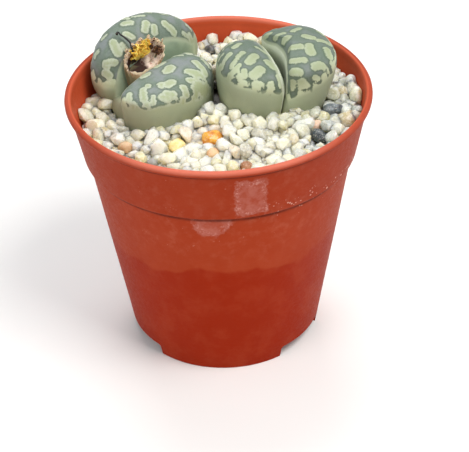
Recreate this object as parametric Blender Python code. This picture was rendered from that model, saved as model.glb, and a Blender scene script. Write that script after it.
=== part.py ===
"""Two stone-plant leaf pairs in a round plastic nursery pot, top-dressed with quartz grit.

Lengths below are millimetres and angles are degrees; the model itself is built in metres, +Z up.
The origin is on the pot's axis at the level its foot stands on, and the front of the pot is at -Y.
"""

import math
import random
from collections import namedtuple

import bmesh
import bpy
from mathutils import Matrix, Vector

MM = 0.001
GAP = 0.3
WALL_CLEARANCE = 0.35
CUT_CLEARANCE = 0.42
SLIVER = 0.002

# Pot: a 5.5 cm round nursery pot with a stepped collar and a rolled lip
POT_HEIGHT = 50.0
RIM_RADIUS = 27.5
FOOT_RADIUS = 17.5
WALL = 0.7
LIP_HEIGHT = 1.1
LIP_EDGE = 0.35
COLLAR_TOP_RADIUS = 26.9
COLLAR_FOOT_RADIUS = 24.75
COLLAR_FOOT_Z = 38.6
BODY_TOP_RADIUS = 24.05
FLOOR_UNDERSIDE = 2.6
FLOOR_THICKNESS = 0.8
NOTCH_HEIGHT = 2.3
NOTCH_WIDTH = 12.5
NOTCH_BEARINGS = (-35.0, 90.0, 205.0)
DRAIN_RADIUS = 2.0
DRAIN_CIRCLE = 10.5
DRAIN_COUNT = 6
POT_SEGMENTS = 60

# Fill: potting soil up to the collar's ledge, then a bed of grit that slopes up to the right
SOIL_TOP = 39.0
BED_FOOT = SOIL_TOP + WALL_CLEARANCE
FILL_SEGMENTS = 48
GRAVEL_LEVEL = 45.3
GRAVEL_SLOPE = 0.06
BED_DEPTH_BELOW_LEVEL = 1.7
GRIT_COUNT = 170
GRIT_SIZE = (2.8, 3.8)
GRIT_POINTS = 8
GRIT_SPACING = 0.4
GRIT_SINK = 0.33
GRIT_SEED = 11

# Roots: each leaf pair narrows below the gravel to a short taproot
NECK_Z = 43.0
CROWN_Z = 37.0
CROWN_RADIUS = 2.2
ROOT_RADIUS = 3.3
ROOT_TIP_Z = 22.0
ROOT_TIP_RADIUS = 0.7

# One fat leaf, as a rounded block whose inner side faces the cleft. The bearing is the cleft's,
# from +X towards +Y, and the leaf lies on the side given. Outer and inner are its reach from
# its middle across the cleft, taper is how much it narrows from its shoulder to the gravel,
# shift moves the top along and away from the cleft, and rise tilts the top the same two ways.
# Ends is how square the inner side's ends are, and hollow how far its middle is pressed in.
# The left pair's third entry is the low web where its two leaves run together at the cleft's end.
Leaf = namedtuple("Leaf", "x y bearing side half_length outer inner shoulder top "
                          "roundness inner_roundness taper outer_taper shift rise ends hollow",
                  defaults=(2.4, 0.0))
LEAF_SIDES = 32
LEAF_ANGLES = (0, 17, 33, 47, 59, 69, 78, 85)
HOLE_SIDES = 24
HOLE_ANGLES = (0, 40, 70, 85)
CLEFT_SQUARENESS = 3.6
OUTER_SQUARENESS = 2.2
LENGTH_SQUARENESS = 2.4
HOLLOW_REACH = 0.8

LEFT_PAIR = (
    Leaf(-13.4, 13.2, 39.5, 1, 11.4, 6.1, 4.5, 48.5, 57.4,
         2.2, 2.4, 0.16, 0.17, (-0.6, 1.5), (-0.05, 0.0)),
    Leaf(-9.6, 3.0, 46.7, -1, 9.8, 7.15, 3.6, 49.7, 52.9,
         2.4, 3.1, 0.03, -0.01, (0.4, 0.6), (0.06, 0.02)),
    Leaf(-16.4, 1.1, 121.0, 1, 5.2, 1.7, 1.8, 44.8, 47.3,
         2.0, 2.0, 0.0, 0.0, (0.0, 0.0), (0.0, 0.0)),
)
RIGHT_PAIR = (
    Leaf(6.7, 2.9, 107.0, 1, 7.95, 6.85, 3.9, 50.7, 55.9,
         2.7, 2.9, 0.08, 0.08, (0.7, 1.9), (0.03, 0.05)),
    Leaf(13.65, 5.0, 107.75, -1, 8.7, 7.45, 4.5, 53.3, 56.75,
         2.3, 2.9, 0.05, 0.43, (-0.1, 0.2), (0.0, 0.105), 3.9, 2.9),
)

# Dried flower in the left pair's cleft: a papery cup with crumpled petals and one stray thread
HUSK_BASE = (-14.1, 6.2, 47.0)
HUSK_MOUTH = (-13.1, 6.6, 53.4)
HUSK_LONG_AXIS = (0.82, 0.49, 0.29)
HUSK_TILT_AXIS = (-0.50, 0.30, 0.81)
HUSK_MOUTH_HALF = (4.3, 2.8)
HUSK_BASE_HALF = (1.7, 0.7)
HUSK_WALL = 0.6
HUSK_FLOOR_SHARE = 0.42
HUSK_SHARES = (0.0, 0.3, 0.6, 0.85, 1.0)
HUSK_RAGGED = 0.35
HUSK_SEGMENTS = 22
PETAL_COUNT = 8
CORE_COUNT = 6
STRIP_THICKNESS = 0.6
TUFT_RISE = 1.5
TUFT_DEPTH = 1.7
TUFT_OFFSET = 0.4
THREAD_RADIUS = 0.25
THREAD_ROUTE = (
    (-15.1, 5.8, 54.8),
    (-15.3, 6.1, 55.6),
    (-15.5, 6.8, 56.1),
    (-16.0, 7.4, 56.4),
    (-16.6, 7.8, 56.8),
    (-17.3, 8.3, 57.1),
    (-17.7, 8.7, 57.3),
    (-17.9, 8.2, 57.2),
)

# Coloured stones among the grit: place, length, width, height, turn and colour
Stone = namedtuple("Stone", "name x y length width height turn colour")
COLOURED_STONES = (
    Stone("stone_amber", -1.4, -8.9, 3.8, 2.7, 2.4, 10, (0.78, 0.36, 0.04)),
    Stone("stone_yellow", -7.6, -10.2, 2.9, 2.6, 2.2, 40, (0.76, 0.60, 0.24)),
    Stone("stone_slate_front", 17.3, -11.0, 3.5, 2.2, 2.0, -55, (0.05, 0.06, 0.065)),
    Stone("stone_slate_back", 20.2, -2.4, 3.8, 2.4, 1.9, 12, (0.22, 0.25, 0.28)),
    Stone("stone_brown", 4.3, -18.9, 2.6, 2.2, 2.1, 15, (0.36, 0.18, 0.09)),
    Stone("stone_pink", 17.0, -7.5, 2.4, 2.0, 2.0, 60, (0.66, 0.34, 0.22)),
    Stone("stone_tan_left", -16.6, -9.4, 2.7, 2.3, 2.1, -20, (0.62, 0.42, 0.26)),
    Stone("stone_tan_front", -1.3, -13.8, 2.8, 2.3, 2.1, 30, (0.66, 0.46, 0.28)),
    Stone("stone_grey_front", -11.9, -15.2, 2.5, 2.1, 2.0, 0, (0.20, 0.20, 0.19)),
    Stone("stone_dark_back", -1.2, 22.4, 2.8, 2.2, 2.2, 0, (0.07, 0.07, 0.08)),
)
STONE_POINTS = 14
STONE_SEED = 70
STONE_SINK = 0.35


def clear_scene():
    for thing in list(bpy.data.objects):
        bpy.data.objects.remove(thing, do_unlink=True)


def material(name, colour, roughness, metallic=0.0):
    shader_material = bpy.data.materials.new(name)
    shader_material.use_nodes = True
    shader = shader_material.node_tree.nodes["Principled BSDF"]
    shader.inputs["Base Color"].default_value = (*colour, 1.0)
    shader.inputs["Roughness"].default_value = roughness
    shader.inputs["Metallic"].default_value = metallic
    return shader_material


def finish_mesh(name, builder, surface=None):
    """Turn a bmesh in millimetres into an object in metres with its faces pointing out."""
    bmesh.ops.scale(builder, vec=(MM, MM, MM), verts=builder.verts)
    bmesh.ops.recalc_face_normals(builder, faces=builder.faces)
    mesh = bpy.data.meshes.new(name)
    builder.to_mesh(mesh)
    builder.free()
    shape = bpy.data.objects.new(name, mesh)
    bpy.context.scene.collection.objects.link(shape)
    if surface is not None:
        mesh.materials.append(surface)
    return shape


def turned(name, profile, segments, surface=None):
    """Spin a profile of (radius, z) points about the Z axis. Its ends lie on the axis."""
    builder = bmesh.new()
    points = [builder.verts.new((radius, 0.0, z)) for radius, z in profile]
    edges = [builder.edges.new(pair) for pair in zip(points, points[1:])]
    bmesh.ops.spin(builder, geom=points + edges, cent=(0, 0, 0), axis=(0, 0, 1),
                   angle=math.tau, steps=segments, use_merge=True)
    bmesh.ops.remove_doubles(builder, verts=builder.verts, dist=0.001)
    return finish_mesh(name, builder, surface)


def lofted(name, rings, surface=None, swell=0.0):
    """Skin a stack of rings of points, each end closed by a fan, and swell the skin outwards."""
    builder = bmesh.new()
    loops = [[builder.verts.new(point) for point in ring] for ring in rings]
    for lower, upper in zip(loops, loops[1:]):
        for step in range(len(lower)):
            after = (step + 1) % len(lower)
            builder.faces.new((lower[step], lower[after], upper[after], upper[step]))
    for loop in (loops[0], loops[-1]):
        middle = sum((point.co for point in loop), Vector()) / len(loop)
        hub = builder.verts.new(middle)
        for step in range(len(loop)):
            builder.faces.new((loop[step], loop[(step + 1) % len(loop)], hub))
    bmesh.ops.triangulate(builder, faces=builder.faces)
    bmesh.ops.recalc_face_normals(builder, faces=builder.faces)
    builder.normal_update()
    for corner in builder.verts:
        corner.co += corner.normal * swell
    return finish_mesh(name, builder, surface)


def apply_modifiers(shape):
    graph = bpy.context.evaluated_depsgraph_get()
    mesh = bpy.data.meshes.new_from_object(shape.evaluated_get(graph))
    shape.modifiers.clear()
    shape.data = mesh


def combine(shape, others, operation, solver="EXACT"):
    """Boolean the other shapes into this one, one after another or as a collection, then remove them."""
    modifier = shape.modifiers.new(operation.lower(), "BOOLEAN")
    modifier.operation = operation
    modifier.solver = solver
    group = bpy.data.collections.new(shape.name + "_operands")
    if len(others) == 1:
        modifier.object = others[0]
    else:
        for other in others:
            group.objects.link(other)
        modifier.operand_type = "COLLECTION"
        modifier.collection = group
    apply_modifiers(shape)
    for other in others:
        bpy.data.objects.remove(other, do_unlink=True)
    bpy.data.collections.remove(group)


def keep_largest_body(shape):
    """Drop the loose scraps that a cut leaves and merge the slivers along its edges."""
    builder = bmesh.new()
    builder.from_mesh(shape.data)
    bmesh.ops.remove_doubles(builder, verts=builder.verts, dist=SLIVER * MM)
    unseen = set(builder.verts)
    bodies = []
    while unseen:
        body, frontier = set(), [next(iter(unseen))]
        while frontier:
            corner = frontier.pop()
            if corner in body:
                continue
            body.add(corner)
            frontier += [edge.other_vert(corner) for edge in corner.link_edges]
        unseen -= body
        bodies.append(body)
    bodies.sort(key=len)
    for scrap in bodies[:-1]:
        bmesh.ops.delete(builder, geom=list(scrap), context="VERTS")
    builder.to_mesh(shape.data)
    builder.free()


def signed_power(value, exponent):
    return math.copysign(abs(value) ** exponent, value)


def inner_wall_radius(z):
    """Radius of the pot's inner wall at a height inside its collar."""
    share = (z - COLLAR_FOOT_Z) / (POT_HEIGHT - LIP_HEIGHT - COLLAR_FOOT_Z)
    return COLLAR_FOOT_RADIUS + (COLLAR_TOP_RADIUS - COLLAR_FOOT_RADIUS) * share - WALL


def body_wall_radius(z):
    """Radius of the pot's inner wall at a height below its collar."""
    return FOOT_RADIUS + (BODY_TOP_RADIUS - FOOT_RADIUS) * z / COLLAR_FOOT_Z - WALL


def gravel_height(x):
    return GRAVEL_LEVEL + GRAVEL_SLOPE * x


def make_pot():
    plastic = material("terracotta_plastic", (0.48, 0.085, 0.035), 0.5)
    lip_foot = POT_HEIGHT - LIP_HEIGHT
    floor_top = FLOOR_UNDERSIDE + FLOOR_THICKNESS
    profile = [
        (0.0, FLOOR_UNDERSIDE),
        (body_wall_radius(FLOOR_UNDERSIDE), FLOOR_UNDERSIDE),
        (FOOT_RADIUS - WALL, 0.0),
        (FOOT_RADIUS, 0.0),
        (BODY_TOP_RADIUS, COLLAR_FOOT_Z),
        (COLLAR_FOOT_RADIUS, COLLAR_FOOT_Z),
        (COLLAR_TOP_RADIUS, lip_foot),
        (RIM_RADIUS - 0.15, lip_foot + 0.05),
        (RIM_RADIUS, lip_foot + LIP_EDGE),
        (RIM_RADIUS, POT_HEIGHT - LIP_EDGE),
        (RIM_RADIUS - LIP_EDGE, POT_HEIGHT),
        (RIM_RADIUS - 0.85, POT_HEIGHT),
        (RIM_RADIUS - 0.85 - LIP_EDGE, POT_HEIGHT - LIP_EDGE),
        (inner_wall_radius(lip_foot), lip_foot - 0.2),
        (inner_wall_radius(COLLAR_FOOT_Z + 0.5), COLLAR_FOOT_Z + 0.5),
        (body_wall_radius(COLLAR_FOOT_Z + 0.3), COLLAR_FOOT_Z + 0.3),
        (body_wall_radius(floor_top), floor_top),
        (0.0, floor_top),
    ]
    pot = turned("pot", profile, POT_SEGMENTS, plastic)
    cutters = [make_drain(index) for index in range(DRAIN_COUNT + 1)]
    cutters += [make_notch(bearing) for bearing in NOTCH_BEARINGS]
    combine(pot, cutters, "DIFFERENCE")
    pot.data.shade_smooth()
    pot.data.set_sharp_from_angle(angle=math.radians(35))
    return pot


def make_drain(index):
    """A drain hole: one in the middle of the floor and the others on a circle."""
    bearing = math.tau * index / DRAIN_COUNT
    reach = 0.0 if index == DRAIN_COUNT else DRAIN_CIRCLE
    builder = bmesh.new()
    bmesh.ops.create_cone(builder, cap_ends=True, segments=16, radius1=DRAIN_RADIUS,
                          radius2=DRAIN_RADIUS, depth=FLOOR_THICKNESS + 1.0)
    place = (reach * math.cos(bearing), reach * math.sin(bearing), FLOOR_UNDERSIDE + FLOOR_THICKNESS / 2)
    bmesh.ops.translate(builder, vec=place, verts=builder.verts)
    return finish_mesh("drain", builder)


def make_notch(bearing):
    """An air gap cut up into the foot."""
    builder = bmesh.new()
    bmesh.ops.create_cube(builder, size=1.0)
    bmesh.ops.scale(builder, vec=(4.0, NOTCH_WIDTH, 2 * NOTCH_HEIGHT), verts=builder.verts)
    bmesh.ops.translate(builder, vec=(FOOT_RADIUS, 0.0, 0.0), verts=builder.verts)
    turn = Matrix.Rotation(math.radians(bearing), 3, "Z")
    bmesh.ops.rotate(builder, cent=(0, 0, 0), matrix=turn, verts=builder.verts)
    return finish_mesh("notch", builder)


def leaf_frame(leaf):
    """Directions along the cleft and away from it, in plan."""
    angle = math.radians(leaf.bearing)
    along = Vector((math.cos(angle), math.sin(angle)))
    away = leaf.side * Vector((-math.sin(angle), math.cos(angle)))
    return along, away


def leaf_ring(leaf, crown, sides, length_scale, outer_scale, inner_scale, z, share, sink=0.0):
    """One level outline of a leaf. Share is how far it has closed over the top and
    sink how far it has drawn in towards the crown of the root."""
    along, away = leaf_frame(leaf)
    middle = Vector((leaf.x, leaf.y)).lerp(Vector(crown), sink)
    half_length = (leaf.half_length + (CROWN_RADIUS - leaf.half_length) * sink) * length_scale
    outer = (leaf.outer + (CROWN_RADIUS - leaf.outer) * sink) * outer_scale
    inner = (leaf.inner + (CROWN_RADIUS - leaf.inner) * sink) * inner_scale
    shift_share = 1 - outer_scale if share else 0.0
    hollow = leaf.hollow * (0.75 + 0.25 * share) * inner_scale * (1 - sink)
    ring = []
    for step in range(sides):
        angle = math.tau * step / sides
        cosine, sine = math.cos(angle), math.sin(angle)
        if sine > 0:
            u = half_length * signed_power(cosine, 2 / LENGTH_SQUARENESS)
            w = outer * signed_power(sine, 2 / OUTER_SQUARENESS)
        else:
            u = half_length * signed_power(cosine, 2 / leaf.ends)
            w = inner * signed_power(sine, 2 / CLEFT_SQUARENESS)
            w += hollow * max(0.0, 1 - (u / (half_length * HOLLOW_REACH)) ** 2) if half_length else 0.0
        u += shift_share * leaf.shift[0]
        w += shift_share * leaf.shift[1]
        lift = share * (leaf.rise[0] * u + leaf.rise[1] * w)
        spot = middle + along * u + away * w
        ring.append((spot.x, spot.y, z + lift))
    return ring


def leaf_rings(leaf, crown, sides, angles):
    ground = gravel_height(leaf.x) - 1.0
    rings = []
    for share in (1.0, 0.66, 0.33):
        depth = NECK_Z + (CROWN_Z - 0.2 * leaf.side - NECK_Z) * share
        rings.append(leaf_ring(leaf, crown, sides, 1 - leaf.taper, 1 - leaf.outer_taper, 0.98,
                               depth, 0.0, share))
    for drop in (1.0, 0.5):
        z = leaf.shoulder + (ground - leaf.shoulder) * drop
        length_scale = 1 - leaf.taper * drop ** 2
        outer_scale = 1 - leaf.outer_taper * drop ** 1.6
        rings.append(leaf_ring(leaf, crown, sides, length_scale, outer_scale, 1 - 0.02 * drop, z, 0.0))
    for angle in angles:
        lean = math.radians(angle)
        rise = signed_power(math.sin(lean), 2 / leaf.roundness)
        outer_scale = signed_power(math.cos(lean), 2 / leaf.roundness)
        inner_scale = signed_power(math.cos(lean), 2 / leaf.inner_roundness)
        z = leaf.shoulder + (leaf.top - leaf.shoulder) * rise
        rings.append(leaf_ring(leaf, crown, sides, outer_scale, outer_scale, inner_scale,
                               z, math.sin(lean)))
    return rings


def root_rings(crown):
    """The taproot below the leaves, round in plan."""
    outline = ((ROOT_RADIUS, CROWN_Z + 1.2), (ROOT_RADIUS * 0.85, CROWN_Z - 3.0),
               (ROOT_TIP_RADIUS * 2, CROWN_Z - 8.0), (ROOT_TIP_RADIUS, ROOT_TIP_Z))
    turns = [math.tau * step / 12 for step in range(12)]
    return [[(crown[0] + radius * math.cos(turn), crown[1] + radius * math.sin(turn), z) for turn in turns]
            for radius, z in outline]


def grown_pair(name, pair, sides, angles, surface=None, swell=0.0):
    """Two leaves and their taproot, grown together as one body."""
    crown = ((pair[0].x + pair[1].x) / 2, (pair[0].y + pair[1].y) / 2)
    leaves = [lofted(name, leaf_rings(leaf, crown, sides, angles), surface, swell) for leaf in pair]
    root = lofted(name + "_root", root_rings(crown), surface, swell)
    combine(leaves[0], leaves[1:] + [root], "UNION")
    return leaves[0]


def make_leaf_pair(name, pair, surface):
    body = grown_pair(name, pair, LEAF_SIDES, LEAF_ANGLES, surface)
    body.data.shade_smooth()
    body.data.set_sharp_from_angle(angle=math.radians(50))
    return body


def plant_holes():
    """The spaces that both leaf pairs take up in the soil and the grit, a little larger than they are."""
    return [grown_pair("plant_hole", pair, HOLE_SIDES, HOLE_ANGLES, swell=CUT_CLEARANCE)
            for pair in (LEFT_PAIR, RIGHT_PAIR)]


def make_soil():
    peat = material("potting_soil", (0.045, 0.028, 0.018), 0.95)
    foot = FLOOR_UNDERSIDE + FLOOR_THICKNESS + GAP
    profile = [
        (0.0, foot),
        (body_wall_radius(foot) - WALL_CLEARANCE, foot),
        (body_wall_radius(SOIL_TOP) - WALL_CLEARANCE, SOIL_TOP),
        (0.0, SOIL_TOP),
    ]
    soil = turned("potting_soil", profile, FILL_SEGMENTS, peat)
    combine(soil, plant_holes(), "DIFFERENCE")
    return soil


def make_stone(name, place, size, turn, points, seed, surface=None, grow=0.0):
    """A broken pebble: the hull of points spread over an ellipsoid of the given size."""
    draw = random.Random(seed)
    builder = bmesh.new()
    tip = draw.uniform(-0.5, 0.5)
    swing = draw.uniform(0, math.tau)
    tilt = Matrix.Rotation(math.radians(turn), 3, "Z") @ Matrix.Rotation(tip, 3, "X")
    for index in range(points):
        height = 1 - (2 * index + 1) / points
        spread = math.sqrt(1 - height * height)
        bearing = swing + index * math.pi * (3 - math.sqrt(5)) + draw.uniform(-0.35, 0.35)
        direction = Vector((spread * math.cos(bearing), spread * math.sin(bearing), height))
        corner = Vector([direction[axis] * (size[axis] / 2 + grow) for axis in range(3)])
        builder.verts.new(tilt @ corner + Vector(place))
    bmesh.ops.convex_hull(builder, input=builder.verts)
    return finish_mesh(name, builder, surface)


def clear_of_leaves(x, y, margin):
    """True where a spot lies outside both leaf pairs and their clefts by the margin."""
    for pair in (LEFT_PAIR, RIGHT_PAIR):
        for leaf in pair:
            along, away = leaf_frame(leaf)
            offset = Vector((x - leaf.x, y - leaf.y))
            u = abs(offset.dot(along)) / (leaf.half_length * (1 - leaf.taper) + margin)
            w = offset.dot(away)
            reach = leaf.outer * (1 - leaf.outer_taper) if w > 0 else leaf.inner + 1.2
            if u ** LENGTH_SQUARENESS + (abs(w) / (reach + margin)) ** OUTER_SQUARENESS < 1:
                return False
    return True


def scatter_grit():
    """Places and sizes of the grit stones, packed over the bed round the leaves and coloured stones."""
    draw = random.Random(GRIT_SEED)
    taken = [(stone.x, stone.y, max(stone.length, stone.width) * 0.95) for stone in COLOURED_STONES]
    grit = []
    for attempt in range(60000):
        if len(grit) == GRIT_COUNT:
            break
        eased = 1 - attempt / 90000
        size = draw.uniform(*GRIT_SIZE)
        bearing = draw.uniform(0, math.tau)
        limit = inner_wall_radius(GRAVEL_LEVEL) - GAP - size / 2
        reach = limit * math.sqrt(draw.random())
        x, y = reach * math.cos(bearing), reach * math.sin(bearing)
        if not clear_of_leaves(x, y, size * 0.3):
            continue
        if all(math.hypot(x - px, y - py) > (size + near) * GRIT_SPACING * eased for px, py, near in taken):
            taken.append((x, y, size))
            grit.append((x, y, size))
    return grit


def grit_stone(index, x, y, size):
    draw = random.Random(GRIT_SEED * 1000 + index)
    dims = (size * draw.uniform(1.0, 1.2), size * draw.uniform(0.85, 1.0), size * draw.uniform(0.8, 1.0))
    z = gravel_height(x) - size * GRIT_SINK + draw.uniform(-0.3, 0.3)
    return make_stone("grit", (x, y, z), dims, draw.uniform(0, 360), GRIT_POINTS, GRIT_SEED * 500 + index)


def make_grit():
    """The bed and its top stones, fused into one body with holes for what stands in it."""
    quartz = material("quartz_grit", (0.80, 0.76, 0.66), 0.45)
    bed_top = gravel_height(0) - BED_DEPTH_BELOW_LEVEL
    profile = [
        (0.0, BED_FOOT),
        (inner_wall_radius(BED_FOOT) - WALL_CLEARANCE - 0.3, BED_FOOT),
        (inner_wall_radius(BED_FOOT + 0.6) - WALL_CLEARANCE, BED_FOOT + 0.6),
        (inner_wall_radius(bed_top) - WALL_CLEARANCE - 0.35, bed_top),
        (0.0, bed_top),
    ]
    bed = turned("quartz_grit", profile, FILL_SEGMENTS, quartz)
    for corner in bed.data.vertices:
        if corner.co.z > (bed_top - 0.1) * MM:
            corner.co.z += GRAVEL_SLOPE * corner.co.x
    stones = [grit_stone(index, *spot) for index, spot in enumerate(scatter_grit())]
    combine(bed, stones, "UNION")
    return bed


def hollow_grit(bed):
    """Cut the standing places of the leaf pairs and coloured stones and trim the bed to the pot."""
    cutters = plant_holes()
    for index, stone in enumerate(COLOURED_STONES):
        cutters.append(make_coloured_stone(stone, index, grow=CUT_CLEARANCE))
    combine(bed, cutters, "DIFFERENCE")
    trim_foot = BED_FOOT - 5.0
    wall = [
        (0.0, trim_foot),
        (inner_wall_radius(trim_foot) - WALL_CLEARANCE, trim_foot),
        (inner_wall_radius(POT_HEIGHT) - WALL_CLEARANCE, POT_HEIGHT),
        (0.0, POT_HEIGHT),
    ]
    trim = turned("trim", wall, POT_SEGMENTS)
    combine(bed, [trim], "INTERSECT")
    keep_largest_body(bed)


def make_coloured_stone(stone, index, surface=None, grow=0.0):
    place = (stone.x, stone.y, gravel_height(stone.x) + stone.height * (0.5 - STONE_SINK) - 0.35)
    size = (stone.length, stone.width, stone.height)
    seed = STONE_SEED + index
    return make_stone(stone.name, place, size, stone.turn, STONE_POINTS, seed, surface, grow)


def husk_ring(share, half_long, half_tilt, wave):
    """One outline of the flower cup, from its foot at share 0 to its mouth at share 1."""
    centre = Vector(HUSK_BASE).lerp(Vector(HUSK_MOUTH), share)
    long_axis = Vector(HUSK_LONG_AXIS).normalized()
    level_axis = Vector((-long_axis.y, long_axis.x, 0.0))
    tilt_axis = level_axis.lerp(Vector(HUSK_TILT_AXIS).normalized(), share ** 0.7).normalized()
    rise = long_axis.cross(tilt_axis)
    ring = []
    for step in range(HUSK_SEGMENTS):
        angle = math.tau * step / HUSK_SEGMENTS
        ragged = wave * (math.sin(3 * angle + 0.6) + 0.7 * math.sin(7 * angle + 2.0))
        across = long_axis * (half_long * math.cos(angle)) + tilt_axis * (half_tilt * math.sin(angle))
        ring.append(centre + across + rise * ragged)
    return ring


def husk_outline(share, inset=0.0):
    """The cup's outline at a share of its depth, flaring towards the mouth and ragged at its edge."""
    flare = share ** 0.8
    halves = [foot + (mouth - foot) * flare for foot, mouth in zip(HUSK_BASE_HALF, HUSK_MOUTH_HALF)]
    return husk_ring(share, halves[0] - inset, halves[1] - inset, HUSK_RAGGED * share ** 3)


def husk_seat():
    """The space that the cup takes up between the leaves, a little larger than it is."""
    return lofted("husk_seat", [husk_outline(share) for share in HUSK_SHARES], swell=CUT_CLEARANCE * 1.4)


def make_husk():
    papery = material("papery_husk", (0.62, 0.44, 0.30), 0.85)
    rings = [husk_outline(share) for share in HUSK_SHARES]
    rings += [husk_outline(share, HUSK_WALL) for share in (1.0, 0.8, 0.6, HUSK_FLOOR_SHARE)]
    husk = lofted("flower_husk", rings, papery)
    husk.data.shade_smooth()
    return husk


def crumpled_strip(name, foot, tip, width, bend, twist):
    """One dried petal: a narrow blade that bends and twists from foot to tip."""
    foot, tip = Vector(foot), Vector(tip)
    rise = tip - foot
    across = rise.cross(Vector((0.3, -0.8, 0.5))).normalized()
    out = across.cross(rise).normalized()
    rings = []
    for step in range(5):
        share = step / 4
        turn = Matrix.Rotation(twist * share, 3, rise)
        centre = foot + rise * share + out * (bend * math.sin(share * math.pi))
        half = width * (0.55 + 0.6 * share * (1.25 - share)) / 2
        side = turn @ across * half
        face = turn @ out * (STRIP_THICKNESS / 2)
        rings.append([centre - side - face, centre + side - face,
                      centre + side + face, centre - side + face])
    return lofted(name, rings)


def cup_interior(long_from, long_to):
    """The space inside the cup between two places along its mouth, and a little above it."""
    shares = (HUSK_FLOOR_SHARE, 0.6, 0.8, 1.0)
    rings = [husk_outline(share, HUSK_WALL + CUT_CLEARANCE) for share in shares]
    rise = Vector(HUSK_LONG_AXIS).normalized().cross(Vector(HUSK_TILT_AXIS).normalized())
    rings.append([spot + rise * TUFT_RISE for spot in husk_outline(1.0, HUSK_WALL + 2 * CUT_CLEARANCE)])
    interior = lofted("cup_interior", rings, swell=-GAP / 2)
    builder = bmesh.new()
    bmesh.ops.create_cube(builder, size=1.0)
    bmesh.ops.scale(builder, vec=(long_to - long_from, 12.0, 20.0), verts=builder.verts)
    bmesh.ops.translate(builder, vec=((long_to + long_from) / 2, 0.0, 0.0), verts=builder.verts)
    bearing = math.atan2(HUSK_LONG_AXIS[1], HUSK_LONG_AXIS[0])
    bmesh.ops.rotate(builder, cent=(0, 0, 0), matrix=Matrix.Rotation(bearing, 3, "Z"), verts=builder.verts)
    bmesh.ops.translate(builder, vec=HUSK_MOUTH, verts=builder.verts)
    combine(interior, [finish_mesh("slab", builder)], "INTERSECT", "MANIFOLD")
    return interior


def flower_tuft(name, count, seed, long_from, long_to, lift, width, surface):
    """A crumpled bunch of strips on a small pad, filling one part of the cup."""
    draw = random.Random(seed)
    long_axis = Vector(HUSK_LONG_AXIS).normalized()
    tilt_axis = Vector(HUSK_TILT_AXIS).normalized()
    rise = long_axis.cross(tilt_axis).normalized()
    mouth = Vector(HUSK_MOUTH)
    bottom = mouth - rise * TUFT_DEPTH + tilt_axis * TUFT_OFFSET
    pad_middle = bottom + long_axis * ((long_from + long_to) / 2)
    pad_size = (long_to - long_from, 2.6, 1.6)
    pad = make_stone(name, pad_middle, pad_size, 31, 12, seed, surface)
    strips = []
    for index in range(count):
        share = (index + 0.5) / count
        along = long_from + 0.5 + (long_to - long_from - 1.0) * share
        foot = bottom + long_axis * along + tilt_axis * draw.uniform(-0.4, 0.4)
        tip = mouth + rise * (lift * draw.uniform(0.6, 1.0)) + long_axis * (along + draw.uniform(-0.3, 0.3))
        tip += tilt_axis * (0.6 + 0.9 * math.sin(index * 2.4))
        bend, twist = draw.uniform(-0.5, 0.5), draw.uniform(-1.0, 1.0)
        strips.append(crumpled_strip("strip", foot, tip, width, bend, twist))
    combine(pad, strips, "UNION")
    combine(pad, [cup_interior(long_from, long_to)], "INTERSECT", "MANIFOLD")
    keep_largest_body(pad)
    return pad


def make_petals():
    dried_yellow = material("dried_petal", (0.72, 0.42, 0.05), 0.7)
    return flower_tuft("flower_petals", PETAL_COUNT, 5, -2.6, 0.9, 1.3, 1.2, dried_yellow)


def make_core():
    dark_brown = material("dried_core", (0.10, 0.045, 0.025), 0.85)
    return flower_tuft("flower_core", CORE_COUNT, 9, 1.2, 3.1, 0.6, 0.8, dark_brown)


def make_thread():
    """The stray dried thread: a bent round wire in one smooth run."""
    black = material("dried_thread", (0.02, 0.018, 0.012), 0.6)
    curve = bpy.data.curves.new("flower_thread", "CURVE")
    curve.dimensions = "3D"
    curve.bevel_depth = THREAD_RADIUS * MM
    curve.bevel_resolution = 1
    curve.resolution_u = 3
    curve.use_fill_caps = True
    spline = curve.splines.new("BEZIER")
    spline.bezier_points.add(len(THREAD_ROUTE) - 1)
    for bend, spot in zip(spline.bezier_points, THREAD_ROUTE):
        bend.co = Vector(spot) * MM
        bend.handle_left_type = "AUTO"
        bend.handle_right_type = "AUTO"
    thread = bpy.data.objects.new("flower_thread", curve)
    bpy.context.scene.collection.objects.link(thread)
    curve.materials.append(black)
    return thread


def main():
    clear_scene()
    skin = material("leaf_skin", (0.24, 0.29, 0.20), 0.6)
    make_pot()
    make_soil()
    make_leaf_pair("leaf_pair_right", RIGHT_PAIR, skin)
    left = make_leaf_pair("leaf_pair_left", LEFT_PAIR, skin)
    combine(left, [husk_seat()], "DIFFERENCE")
    make_husk()
    make_petals()
    make_core()
    make_thread()
    for index, stone in enumerate(COLOURED_STONES):
        make_coloured_stone(stone, index, material(stone.name, stone.colour, 0.5))
    hollow_grit(make_grit())


main()
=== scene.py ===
import math
import random
from collections import namedtuple
from contextlib import contextmanager

import bpy
import numpy as np
from mathutils import Matrix, Vector, noise
from mathutils.bvhtree import BVHTree


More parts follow.
